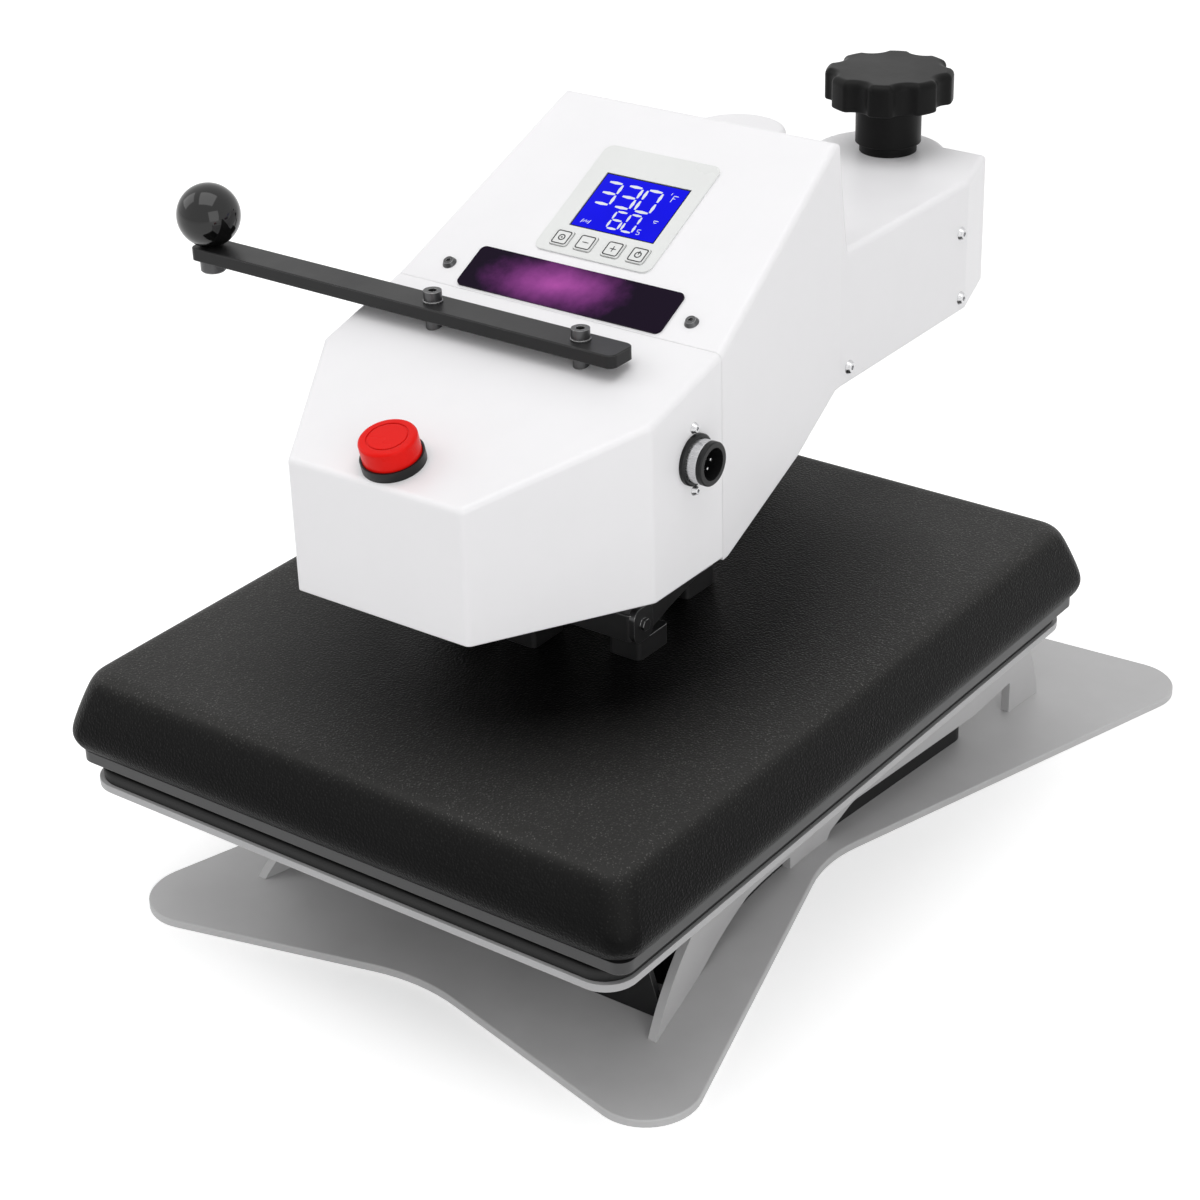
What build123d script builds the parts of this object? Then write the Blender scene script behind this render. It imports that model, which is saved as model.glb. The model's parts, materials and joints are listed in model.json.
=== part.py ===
from build123d import *
from math import cos, radians, sin, tan
import os

os.makedirs("parts", exist_ok=True)

# Swing-away heat press. The origin is on the base's underside, below the centre of the platen.
# The operator stands at -Y, +X is to the operator's right, +Z is up. All lengths are in millimetres.

# Clearances
shaft_gap = 0.05
slip_gap = 0.3

# Stand
base_thickness = 5.0
base_front_edge = 186.0
base_front_corner = (221.6, -241.4)
base_waist = (132.4, 61.0)
base_rear_corner = (235.6, 403.8)
base_rear_edge = 390.0
base_front_edge_radius = 130.0
base_front_corner_radius = 33.0
base_waist_radius = 90.0
base_rear_corner_radius = 32.0
base_rear_edge_radius = 900.0

pedestal_height = 104.0
side_plate_thickness = 6.0
side_plate_front = (156.0, -161.0)
side_plate_middle = (117.0, 3.0)
side_plate_rear = (145.0, 322.0)
side_plate_bow_radius = 500.0

# Side plate seen from the side: distances along Y and heights above the base plate
front_arch = [(-92.0, 0.0), (-18.0, 11.0), (36.0, 9.0), (36.0, 0.0)]
front_arch_radii = [40.0, 1.5]
rear_arch = [(78.0, 0.0), (81.0, 5.0), (106.0, 16.0), (245.0, 17.0), (287.0, 24.0), (287.0, 0.0)]
rear_arch_radii = [2.0, 20.0, 60.0, 1.5]
rear_edge_bow = (311.0, 38.0)
rear_edge_top = 232.0
front_edge_bow = (-134.0, 23.0)
front_edge_shoulder = (-105.0, 36.0)
front_edge_top = -70.0

pedestal_front = -112.0
pedestal_rear = 245.0
pedestal_wall = 4.0
pedestal_corner = 12.0
pedestal_flange = 26.0
pedestal_opening_width = 156.0
front_plate_y = -141.0
front_plate_corner_height = 10.0
front_plate_taper = 30.0

table_side_margin = 5.0
table_end_overhang = 1.7
table_thickness = 5.0
table_corner = 20.0
table_screw_spacing_x = 182.0
table_screw_spacing_y = 300.0
screw_radius = 3.0
screw_head_radius = 6.0
pad_thickness = 7.5
pad_inset = 2.0
pad_edge_radius = 2.0

# Swing column
pivot_x = -87.0
pivot_y = 290.0
shaft_radius = 15.0
column_radius = 22.0
flange_radius = 42.0
flange_thickness = 10.0
flange_bolt_radius = 4.0
flange_bolt_circle_radius = 32.0
column_foot_fillet = 4.0
hexagon_share = 1.6
hexagon_height_share = 1.3
thrust_washer_thickness = 4.0
bearing_boss_radius = 28.0
bush_wall = 4.0
bush_length = 26.0
collar_height = 5.0

# Pressing unit
platen_width = 406.4
platen_length = 508.0
platen_corner = 9.0
platen_gap = 2.5
rim_height = 8.0
platen_core_height = 16.0
platen_core_inset = 12.0
element_width = 8.0
element_runs = 6
insulation_thickness = 12.0
cover_height = 52.0
cover_bulge_height = 10.5
cover_bulge_x = 7.8
cover_bulge_y = 8.0
cover_top_inset_x = 6.6
cover_top_inset_y = 10.0
cover_corner = 16.0
cover_bulge_fillet = 7.0
cover_top_fillet = 11.0
cover_wall = 3.0
post_radius = 5.0
post_foot_thickness = 13.0
post_foot_width = 23.0
post_foot_length = 30.0
post_places = [(62.0, -40.0), (-62.0, -40.0), (41.5, 40.0), (-41.5, 40.0), (0.0, -62.0)]
yoke_clearance = 21.0
yoke_thickness = 18.0
yoke_corners = [(78.0, -70.0), (78.0, -50.0), (72.0, -24.0), (56.0, 54.0)]
yoke_corner_radius = 3.0
ear_width = 19.0
ear_height = 22.0
ear_radius = 6.0
ear_thickness = 2.5
ear_screw_radius = 2.5
guide_rod_spacing = 60.0
guide_rod_radius = 8.0
guide_rod_length = 110.0
piston_rod_radius = 8.0
piston_rod_length = 90.0
piston_thickness = 12.0

# Head
head_clearance = 72.5
seam_y = -32.0
sheet = 2.0
hood_front_y = -198.6
hood_front_height = 83.1
hood_front_half_width = 62.0
hood_fold_y = -100.0
hood_fold_half_width = 118.0
hood_slope = 14.8
bend_radius = 4.0
panel_slope = 27.2
tower_top_y = 120.0
tower_lean = 11.0
arm_drop = 2.0
arm_half_width = 99.0
arm_taper_end = 125.0
block_top_rise = 132.0
block_height = 87.0
underside_start = -26.0
underside_knee = (66.0, -22.0)
underside_end = 119.0
chamfer_y = 280.0
rear_wall_y = 331.0
rear_wall_half_width = 82.6
knob_x = 23.0
knob_y = 306.0
knob_lobe_centre = (18.5, 301.0)
knob_lobe_radius = 45.0
pivot_lobe_radius = 34.0
notch_y = 284.0

frame_thickness = 6.0
frame_side_gap = 3.0
frame_front = -106.0
frame_rear = 225.0
frame_inset = 9.0
frame_rear_height = 42.0
foot_rail_front = -66.0
foot_rail_rear = -15.0
foot_rail_drop = 7.0
floor_recess = 4.0
floor_window_width = 206.0
floor_window_front = -88.0
frame_bolt_spacing_x = 110.0
frame_bolt_spacing_z = 22.0
frame_bolt_radius = 4.0
casting_length = 55.0
casting_top_gap = 7.0
pressure_boss_radius = 24.0
guide_block_length = 80.0
guide_block_height = 34.0
guide_block_rise = 20.0
guide_bush_wall = 4.0
cylinder_radius = 38.0
cylinder_bore = 31.0
cylinder_height = 60.0
cylinder_cap = 8.0

# Display panel, measured up the slope from the fold between hood and tower
strip_width = 148.0
strip_height = 32.0
strip_start = 2.0
strip_thickness = 1.2
panel_width = 84.0
panel_height = 89.0
panel_start = 41.5
panel_corner = 6.0
panel_thickness = 1.2
window_width = 61.5
window_height = 45.4
window_start = 22.0
key_size = 12.0
key_height = 1.0
key_start = 11.0
key_places = [-26.7, -9.3, 10.7, 28.7]
key_gap = 0.4
panel_shift = 1.7
key_travel = 0.5
board_depth = 14.0
board_thickness = 1.6
board_margin = 11.0
board_pillar_radius = 3.0
board_pillar_inset = 4.5
panel_screw_inset = 11.0
panel_screw_up = 16.0

# Socket on the right-hand side of the hood
socket_y = -60.0
socket_rise = 73.5
socket_flange_radius = 15.3
socket_flange_thickness = 3.0
socket_radius = 13.0
socket_lining = 1.9
socket_bore = 9.5
socket_band = 9.5
socket_reach = 13.0
socket_depth = 12.0
socket_screw_spacing = 38.3
socket_contact_radius = 1.0
side_screw_radius = 2.5
side_screw_head_radius = 4.5
side_screw_head_height = 2.6
side_screw_length = 9.0
right_screw_places = [(272.0, 53.5), (274.0, 8.5), (136.0, 9.5)]
left_screw_places = [(229.0, 53.5), (229.0, 8.5), (136.0, 9.5)]
socket_screw_radius = 1.7
socket_screw_head_radius = 3.4

# Push button
button_y = -179.0
button_collar_radius = 18.5
button_collar_height = 6.0
button_radius = 17.0
button_height = 18.0
button_travel = 3.0
button_floor = 1.5
button_stem_radius = 8.0
button_stem_length = 16.0
button_block_size = 28.0

# Handle
bar_left = -245.0
bar_right = 76.5
bar_y = -68.0
bar_width = 22.0
bar_thickness = 8.0
bar_corner = 5.0
bar_clearance = 7.0
bar_screw_left = -60.0
bar_screw_right = 47.0
bar_spacer_radius = 5.0
bar_screw_radius = 3.0
bar_screw_head_radius = 5.5
bar_screw_head_height = 6.0
bar_washer_radius = 6.0
bar_washer_thickness = 1.2
bar_screw_key_radius = 2.9
bar_screw_key_depth = 3.0
ball_radius = 19.8
ball_x = -236.0
ball_flat = 0.6
ball_stud_radius = 5.0
ball_nut_radius = 8.0
ball_nut_height = 9.0

# Pressure knob
knob_radius = 42.0
knob_lobes = 8
knob_body_height = 21.0
knob_neck_radius = 21.7
knob_neck_height = 28.0
knob_foot_radius = 19.0
knob_foot_height = 6.0
pressure_screw_radius = 8.0
pressure_bush_radius = 12.0
pressure_bush_depth = 24.0
knob_scallop_radius = 11.0
knob_scallop_depth = 5.0
knob_lobe_fillet = 4.0
knob_top_fillet = 4.5

# Mains inlet and rocker switch in the left-hand side of the rear block
inlet_y = 170.0
inlet_width = 60.0
inlet_height = 34.0
inlet_frame = 3.0
inlet_depth = 22.0
inlet_recess = 15.0
inlet_flange = 2.0
inlet_corner = 3.0
inlet_socket_width = 26.0
inlet_socket_height = 19.0
inlet_pin_width = 2.0
inlet_pin_height = 4.0
inlet_pin_spacing = 14.0
inlet_pin_offset = 3.0
inlet_pin_setback = 4.0
rocker_angle = 52.0
rocker_tilt = 8.0
rocker_width = 13.0
rocker_height = 22.0
air_fitting_y = 216.0
inlet_rise = 64.0
rocker_pivot_depth = 4.0
rocker_hollow = 0.62
rocker_back_angle = 40.0
air_fitting_radius = 7.0
air_nut_radius = 10.0
air_nut_height = 5.0
air_fitting_length = 12.0
air_fitting_depth = 8.0
air_port_radius = 3.0
air_port_depth = 16.0

# How far a form runs past the piece that it cuts, and the arm's rear edge past its lobes
overrun = 10.0
arm_rear_margin = 10.0

# Heights and places worked out from the sizes above
table_width = platen_width - 2 * table_side_margin
table_length = platen_length + 2 * table_end_overhang
frame_outer = arm_half_width - sheet - frame_side_gap
panel_screw_x = arm_half_width - panel_screw_inset
z_base = base_thickness
z_table = z_base + pedestal_height
z_table_top = z_table + table_thickness
z_pad_top = z_table_top + pad_thickness
z_platen = z_pad_top + platen_gap
z_cover = z_platen + rim_height
z_cover_top = z_cover + cover_height
z_hood = z_cover_top + head_clearance
z_arm = z_hood - arm_drop
z_block_top = z_hood + block_top_rise
z_block = z_block_top - block_height
z_hood_front = z_hood + hood_front_height
z_fold = z_hood_front + (seam_y - hood_front_y) * tan(radians(hood_slope))
z_tower_top = z_fold + (tower_top_y - seam_y) * tan(radians(panel_slope))
z_yoke = z_cover_top + yoke_clearance
z_yoke_top = z_yoke + yoke_thickness
z_guide = z_hood + guide_block_rise
z_guide_top = z_guide + guide_block_height
z_casting = z_block + sheet
z_casting_top = z_block_top - sheet - casting_top_gap
z_floor = z_hood + floor_recess
z_bar = z_hood_front + (bar_y - hood_front_y) * tan(radians(hood_slope)) + bar_clearance
arm_rear = max(knob_lobe_centre[1] + knob_lobe_radius, pivot_y + pivot_lobe_radius) + arm_rear_margin
bush_radius = shaft_radius + shaft_gap + bush_wall

button_rise = (button_y - hood_front_y) * tan(radians(hood_slope))
button_plane = Plane(
    origin=(0, button_y, z_hood_front + button_rise),
    x_dir=(1, 0, 0),
    z_dir=(0, -sin(radians(hood_slope)), cos(radians(hood_slope))),
)
panel_plane = Plane(
    origin=(0, seam_y, z_fold),
    x_dir=(1, 0, 0),
    z_dir=(0, -sin(radians(panel_slope)), cos(radians(panel_slope))),
)


def mirrored(points):
    """Close an outline by repeating its right-hand points on the left."""
    return points + [(-x, y) for x, y in reversed(points) if x > 0]


# Butterfly-shaped base plate
with BuildPart() as base_plate:
    with BuildSketch():
        with BuildLine():
            half = [
                (0, -base_front_edge),
                base_front_corner,
                base_waist,
                base_rear_corner,
                (0, base_rear_edge),
            ]
            corner_radii = [
                base_front_edge_radius,
                base_front_corner_radius,
                base_waist_radius,
                base_rear_corner_radius,
                base_rear_edge_radius,
            ]
            FilletPolyline(*mirrored(half), radius=corner_radii + corner_radii[3:0:-1], close=True)
        make_face()
    extrude(amount=base_thickness)
    chamfer(base_plate.edges().group_by(Axis.Z)[-1], 0.6)
base_plate.part.label = "base_plate"
export_step(base_plate.part, "parts/base_plate.step")


def bowed(side, inset):
    """Plan points of a side plate's bowed line, moved inwards by inset."""
    return [(side * (x - inset), y) for x, y in (side_plate_front, side_plate_middle, side_plate_rear)]


def above_base(points):
    return [(y, z_base + height) for y, height in points]


# Side plates of the pedestal: sheet bowed inwards, standing on three feet between two low arches
def side_plate(side):
    front_y = side_plate_front[1]
    rear_y = side_plate_rear[1]
    shoulder, front_bow, rear_bow = above_base([front_edge_shoulder, front_edge_bow, rear_edge_bow])
    with BuildPart() as plate:
        with BuildSketch(Plane.XY.offset(z_base)):
            with BuildLine():
                outer = FilletPolyline(*bowed(side, 0), radius=side_plate_bow_radius)
                inner = FilletPolyline(*bowed(side, side_plate_thickness), radius=side_plate_bow_radius)
                Line(outer @ 0, inner @ 0)
                Line(outer @ 1, inner @ 1)
            make_face()
        extrude(amount=pedestal_height)
        with BuildSketch(Plane.YZ):
            with BuildLine():
                Line((front_y, z_base), above_base(front_arch)[0])
                FilletPolyline(*above_base(front_arch), radius=front_arch_radii)
                Line(above_base(front_arch)[-1], above_base(rear_arch)[0])
                FilletPolyline(*above_base(rear_arch), radius=rear_arch_radii)
                Line(above_base(rear_arch)[-1], (rear_y, z_base))
                ThreePointArc((rear_y, z_base), rear_bow, (rear_edge_top, z_table))
                Line((rear_edge_top, z_table), (front_edge_top, z_table))
                Line((front_edge_top, z_table), shoulder)
                ThreePointArc(shoulder, front_bow, (front_y, z_base))
            make_face()
        extrude(amount=2 * side_plate_front[0], both=True, mode=Mode.INTERSECT)
    return plate.part


for name, side in (("side_plate_right", 1), ("side_plate_left", -1)):
    side_plate_part = side_plate(side)
    side_plate_part.label = name
    export_step(side_plate_part, f"parts/{name}.step")

# Black pedestal box between the side plates, with a flange that the table is screwed to
pedestal_length = pedestal_rear - pedestal_front
pedestal_middle = (pedestal_rear + pedestal_front) / 2


def pedestal_plan(inset):
    """Plan of the box, which follows the bow of the side plates, drawn in by inset."""
    gap = side_plate_thickness + slip_gap + inset
    with BuildSketch(Plane.XY.offset(z_base)) as plan:
        with BuildLine():
            right = FilletPolyline(*bowed(1, gap), radius=side_plate_bow_radius)
            left = FilletPolyline(*bowed(-1, gap), radius=side_plate_bow_radius)
            Line(right @ 0, left @ 0)
            Line(right @ 1, left @ 1)
        make_face()
        with Locations((0, pedestal_middle)):
            Rectangle(2 * table_width, pedestal_length - 2 * inset, mode=Mode.INTERSECT)
        ends = plan.vertices().group_by(Axis.Y)
        fillet(ends[0] + ends[-1], pedestal_corner - inset)
    return plan.sketch


with BuildPart() as pedestal_box:
    extrude(pedestal_plan(0), amount=pedestal_height)
    extrude(pedestal_plan(pedestal_wall), amount=pedestal_height - pedestal_wall, mode=Mode.SUBTRACT)
    with BuildSketch(Plane.XY.offset(z_table)):
        with Locations((0, pedestal_middle)):
            RectangleRounded(pedestal_opening_width, pedestal_length - 2 * pedestal_flange, pedestal_wall)
            with GridLocations(table_screw_spacing_x, table_screw_spacing_y, 2, 2):
                Circle(screw_radius + shaft_gap)
    extrude(amount=-pedestal_wall, mode=Mode.SUBTRACT)
pedestal_box.part.label = "pedestal_box"
export_step(pedestal_box.part, "parts/pedestal_box.step")

# Black cross plate between the front feet
front_plate_back = front_plate_y + pedestal_wall
front_plate_t = (front_plate_back - side_plate_front[1]) / (side_plate_middle[1] - side_plate_front[1])
front_plate_reach = side_plate_front[0] + front_plate_t * (side_plate_middle[0] - side_plate_front[0])
front_plate_half = front_plate_reach - side_plate_thickness - slip_gap
with BuildPart() as front_cross_plate:
    with BuildSketch(Plane.XZ.offset(-front_plate_y)):
        with BuildLine():
            Polyline(
                (-front_plate_half, z_base),
                (front_plate_half, z_base),
                (front_plate_half, z_base + front_plate_corner_height),
                (front_plate_half - front_plate_taper, z_table),
                (-front_plate_half + front_plate_taper, z_table),
                (-front_plate_half, z_base + front_plate_corner_height),
                close=True,
            )
        make_face()
    extrude(amount=-pedestal_wall)
front_cross_plate.part.label = "front_cross_plate"
export_step(front_cross_plate.part, "parts/front_cross_plate.step")

# Lower table, its countersunk screws and the silicone pad on it
with BuildPart() as lower_table:
    with BuildSketch(Plane.XY.offset(z_table)):
        RectangleRounded(table_width, table_length, table_corner)
    extrude(amount=table_thickness)
    with Locations((0, pedestal_middle, z_table_top)):
        with GridLocations(table_screw_spacing_x, table_screw_spacing_y, 2, 2):
            CounterSinkHole(screw_radius + shaft_gap, screw_head_radius + slip_gap)
    chamfer(lower_table.edges().group_by(Axis.Z)[0].sort_by(SortBy.LENGTH)[-8:], 0.5)
lower_table.part.label = "lower_table"
export_step(lower_table.part, "parts/lower_table.step")

with BuildPart() as table_screws:
    with BuildSketch(Plane.XZ):
        with BuildLine():
            Polyline(
                (0, z_table - 2 * pedestal_wall),
                (screw_radius, z_table - 2 * pedestal_wall),
                (screw_radius, z_table_top - screw_head_radius + screw_radius),
                (screw_head_radius, z_table_top),
                (0, z_table_top),
                close=True,
            )
        make_face()
    revolve(axis=Axis.Z)
table_screw = table_screws.part
with BuildPart() as table_screws:
    with Locations((0, pedestal_middle)):
        with GridLocations(table_screw_spacing_x, table_screw_spacing_y, 2, 2):
            add(table_screw)
table_screws.part.label = "table_screws"
export_step(table_screws.part, "parts/table_screws.step")

with BuildPart() as silicone_pad:
    with BuildSketch(Plane.XY.offset(z_table_top)):
        RectangleRounded(table_width - 2 * pad_inset, table_length - 2 * pad_inset, table_corner)
    extrude(amount=pad_thickness)
    fillet(silicone_pad.edges().group_by(Axis.Z)[-1], pad_edge_radius)
silicone_pad.part.label = "silicone_pad"
export_step(silicone_pad.part, "parts/silicone_pad.step")

# Swing column, fixed to the rear of the base plate
z_column_top = z_block - sheet - thrust_washer_thickness
pivot = (pivot_x, pivot_y)
with BuildPart() as swing_column:
    with BuildSketch(Plane.XY.offset(z_base)):
        with Locations(pivot):
            Circle(flange_radius)
    extrude(amount=flange_thickness)
    with BuildSketch(Plane.XY.offset(z_base)):
        with Locations(pivot):
            Circle(column_radius)
    extrude(amount=z_column_top - z_base)
    seam = swing_column.edges().filter_by(GeomType.CIRCLE).group_by(Axis.Z)[-2]
    fillet(seam.sort_by(SortBy.RADIUS)[0], column_foot_fillet)
    with BuildSketch(Plane.XY.offset(z_base)):
        with Locations(pivot):
            Circle(shaft_radius + shaft_gap)
    extrude(amount=z_column_top - z_base, mode=Mode.SUBTRACT)
    with BuildSketch(Plane.XY.offset(z_base)):
        with Locations(pivot):
            with PolarLocations(flange_bolt_circle_radius, 6):
                Circle(flange_bolt_radius + shaft_gap)
    extrude(amount=flange_thickness, mode=Mode.SUBTRACT)
swing_column.part.label = "swing_column"
export_step(swing_column.part, "parts/swing_column.step")

with BuildPart() as flange_bolts:
    with BuildSketch(Plane.XY.offset(z_base)):
        with Locations(pivot):
            with PolarLocations(flange_bolt_circle_radius, 6):
                Circle(flange_bolt_radius)
    extrude(amount=flange_thickness)
    with BuildSketch(Plane.XY.offset(z_base + flange_thickness)):
        with Locations(pivot):
            with PolarLocations(flange_bolt_circle_radius, 6):
                RegularPolygon(hexagon_share * flange_bolt_radius, 6)
    extrude(amount=hexagon_height_share * flange_bolt_radius)
flange_bolts.part.label = "flange_bolts"
export_step(flange_bolts.part, "parts/flange_bolts.step")

z_shaft_top = z_casting_top + slip_gap + collar_height
with BuildPart() as swing_shaft:
    with BuildSketch(Plane.XY.offset(z_base)):
        with Locations(pivot):
            Circle(shaft_radius)
    extrude(amount=z_shaft_top - z_base)
    chamfer(swing_shaft.edges().group_by(Axis.Z)[-1], 1)
swing_shaft.part.label = "swing_shaft"
export_step(swing_shaft.part, "parts/swing_shaft.step")

with BuildPart() as thrust_washer:
    with BuildSketch(Plane.XY.offset(z_column_top)):
        with Locations(pivot):
            Circle(bearing_boss_radius - 2)
            Circle(shaft_radius + shaft_gap, mode=Mode.SUBTRACT)
    extrude(amount=thrust_washer_thickness - shaft_gap)
thrust_washer.part.label = "thrust_washer"
export_step(thrust_washer.part, "parts/thrust_washer.step")

with BuildPart() as shaft_collar:
    with BuildSketch(Plane.XY.offset(z_casting_top + slip_gap)):
        with Locations(pivot):
            Circle(shaft_radius + 8)
            Circle(shaft_radius + shaft_gap, mode=Mode.SUBTRACT)
    extrude(amount=collar_height)
shaft_collar.part.label = "shaft_collar"
export_step(shaft_collar.part, "parts/shaft_collar.step")

# Heated platen with a stepped rim and a groove for the element
core_width = platen_width - 2 * platen_core_inset
core_length = platen_length - 2 * platen_core_inset
z_core_top = z_cover + platen_core_height
run_pitch = core_width / element_runs
run_reach = core_length / 2 - run_pitch


def element_path():
    """One serpentine line of long runs joined by half circles."""
    first_x = -run_pitch * (element_runs - 1) / 2
    with BuildLine(Plane.XY.offset(z_core_top)) as path:
        for run in range(element_runs):
            x = first_x + run * run_pitch
            end = run_reach if run % 2 == 0 else -run_reach
            Line((x, -end), (x, end))
            if run < element_runs - 1:
                turn_y = end + run_pitch / 2 * (1 if end > 0 else -1)
                ThreePointArc((x, end), (x + run_pitch / 2, turn_y), (x + run_pitch, end))
    return path.wires()[0]


def element_band(width):
    with BuildSketch(Plane.XY.offset(z_core_top)) as band:
        trace(element_path(), width)
    return band.sketch


with BuildPart() as heat_platen:
    with BuildSketch(Plane.XY.offset(z_platen)):
        RectangleRounded(platen_width, platen_length, platen_corner)
    extrude(amount=rim_height)
    with BuildSketch(Plane.XY.offset(z_cover)):
        RectangleRounded(core_width, core_length, platen_corner)
    extrude(amount=platen_core_height)
    chamfer(heat_platen.edges().group_by(Axis.Z)[0], 0.8)
    extrude(element_band(element_width), amount=-element_width / 2, mode=Mode.SUBTRACT)
heat_platen.part.label = "heat_platen"
export_step(heat_platen.part, "parts/heat_platen.step")

with BuildPart() as heating_element:
    extrude(element_band(element_width - 2 * shaft_gap), amount=-element_width / 2)
    extrude(element_band(element_width - 2 * shaft_gap), amount=element_width / 2)
heating_element.part.label = "heating_element"
export_step(heating_element.part, "parts/heating_element.step")

z_insulation = z_core_top + element_width / 2
with BuildPart() as insulation_board:
    with BuildSketch(Plane.XY.offset(z_insulation)):
        RectangleRounded(core_width - 8, core_length - 8, platen_corner)
        with Locations(*post_places):
            Circle(post_radius + slip_gap, mode=Mode.SUBTRACT)
    extrude(amount=insulation_thickness)
insulation_board.part.label = "insulation_board"
export_step(insulation_board.part, "parts/insulation_board.step")


# Pebbled cover: swells out over the rim, then draws in to a soft ridge round a flat top
def cover_form(inset, top):
    z_bulge = z_cover + cover_bulge_height
    widths = [platen_width / 2, platen_width / 2 + cover_bulge_x, platen_width / 2 - cover_top_inset_x]
    lengths = [
        platen_length / 2,
        platen_length / 2 + cover_bulge_y,
        platen_length / 2 - cover_top_inset_y,
    ]
    heights = [z_cover, z_bulge, top]
    with BuildPart() as form:
        for lower in (0, 1):
            for level in (lower, lower + 1):
                with BuildSketch(Plane.XY.offset(heights[level])):
                    RectangleRounded(
                        2 * (widths[level] - inset), 2 * (lengths[level] - inset), cover_corner
                    )
            loft(ruled=True)
        fillet(form.edges().filter_by_position(Axis.Z, z_bulge - 0.1, z_bulge + 0.1), cover_bulge_fillet)
        fillet(form.edges().group_by(Axis.Z)[-1], cover_top_fillet)
    return form.part


with BuildPart() as platen_cover:
    add(cover_form(0, z_cover_top))
    add(cover_form(cover_wall, z_cover_top - cover_wall), mode=Mode.SUBTRACT)
    with BuildSketch(Plane.XY.offset(z_cover_top)):
        with Locations(*post_places):
            Circle(post_radius + slip_gap)
    extrude(amount=-cover_wall, mode=Mode.SUBTRACT)
platen_cover.part.label = "platen_cover"
export_step(platen_cover.part, "parts/platen_cover.step")

# Posts that carry the platen, with a clamping foot on the cover
with BuildPart() as platen_posts:
    with BuildSketch(Plane.XY.offset(z_core_top)):
        with Locations(*post_places):
            Circle(post_radius)
    extrude(amount=z_yoke - z_core_top)
    with BuildSketch(Plane.XY.offset(z_cover_top)):
        with Locations(*post_places):
            RectangleRounded(post_foot_width, post_foot_length, 3)
    extrude(amount=post_foot_thickness)
platen_posts.part.label = "platen_posts"
export_step(platen_posts.part, "parts/platen_posts.step")

# Yoke that joins the posts to the guide rods and the piston rod, with a round-cornered ear at each end
ear_y = (yoke_corners[0][1] + yoke_corners[1][1]) / 2
with BuildPart() as platen_yoke:
    with BuildSketch(Plane.XY.offset(z_yoke)):
        with BuildLine():
            FilletPolyline(*mirrored(yoke_corners), radius=yoke_corner_radius, close=True)
        make_face()
    extrude(amount=yoke_thickness)
    chamfer(platen_yoke.edges().group_by(Axis.Z)[-1], 1)
    for side in (-1, 1):
        with BuildSketch(Plane.YZ.offset(side * (yoke_corners[0][0] - sheet))):
            with Locations((ear_y, z_yoke + yoke_thickness / 2)):
                RectangleRounded(ear_width, ear_height, ear_radius)
        extrude(amount=side * (sheet + ear_thickness))
        with BuildSketch(Plane.YZ.offset(side * (yoke_corners[0][0] + ear_thickness))):
            with Locations((ear_y, z_yoke + yoke_thickness / 2)):
                RegularPolygon(hexagon_share * ear_screw_radius, 6)
        extrude(amount=side * ear_screw_radius)
platen_yoke.part.label = "platen_yoke"
export_step(platen_yoke.part, "parts/platen_yoke.step")

guide_places = [(-guide_rod_spacing, 0), (guide_rod_spacing, 0)]
with BuildPart() as guide_rods:
    with BuildSketch(Plane.XY.offset(z_yoke_top)):
        with Locations(*guide_places):
            Circle(guide_rod_radius)
    extrude(amount=guide_rod_length)
    chamfer(guide_rods.edges().group_by(Axis.Z)[-1], 1)
guide_rods.part.label = "guide_rods"
export_step(guide_rods.part, "parts/guide_rods.step")

z_piston = z_yoke_top + piston_rod_length
with BuildPart() as piston_rod:
    with BuildSketch(Plane.XY.offset(z_yoke_top)):
        Circle(piston_rod_radius)
    extrude(amount=piston_rod_length)
    with BuildSketch(Plane.XY.offset(z_piston)):
        Circle(cylinder_bore - shaft_gap)
    extrude(amount=piston_thickness)
piston_rod.part.label = "piston_rod"
export_step(piston_rod.part, "parts/piston_rod.step")


# Folded sheet-metal covers of the head: a side outline crossed with a plan outline
def hood_form(inset, bottom, rear):
    """Hexagonal hood with a sloping top, drawn in by inset on every side."""
    slope = radians(hood_slope)
    front = hood_front_y + inset
    top_front = z_hood_front + inset * tan(slope) - inset / cos(slope)
    top_rear = top_front + (rear - front) * tan(slope)
    with BuildPart() as form:
        with BuildSketch(Plane.YZ):
            with BuildLine():
                Polyline((front, bottom), (front, top_front), (rear, top_rear), (rear, bottom), close=True)
            make_face()
        extrude(amount=hood_fold_half_width, both=True)
        with BuildSketch(Plane.XY.offset(bottom)):
            with BuildLine():
                drawn_in = inset * 0.55
                right = [
                    (hood_front_half_width - drawn_in, front),
                    (hood_fold_half_width - inset, hood_fold_y + drawn_in),
                    (hood_fold_half_width - inset, rear),
                ]
                Polyline(*mirrored(right), close=True)
            make_face()
        extrude(amount=z_fold - bottom, mode=Mode.INTERSECT)
        outside = form.edges().filter_by_position(Axis.Y, hood_front_y - 1, rear - 0.01)
        folds = outside - outside.group_by(Axis.Z)[0]
        fillet(folds, bend_radius - inset)
    return form.part


socket_wall = Plane.YZ.offset(hood_fold_half_width)
socket_spot = (socket_y, z_hood + socket_rise)
socket_screw_spots = [
    (socket_y, z_hood + socket_rise - socket_screw_spacing / 2),
    (socket_y, z_hood + socket_rise + socket_screw_spacing / 2),
]

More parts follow.
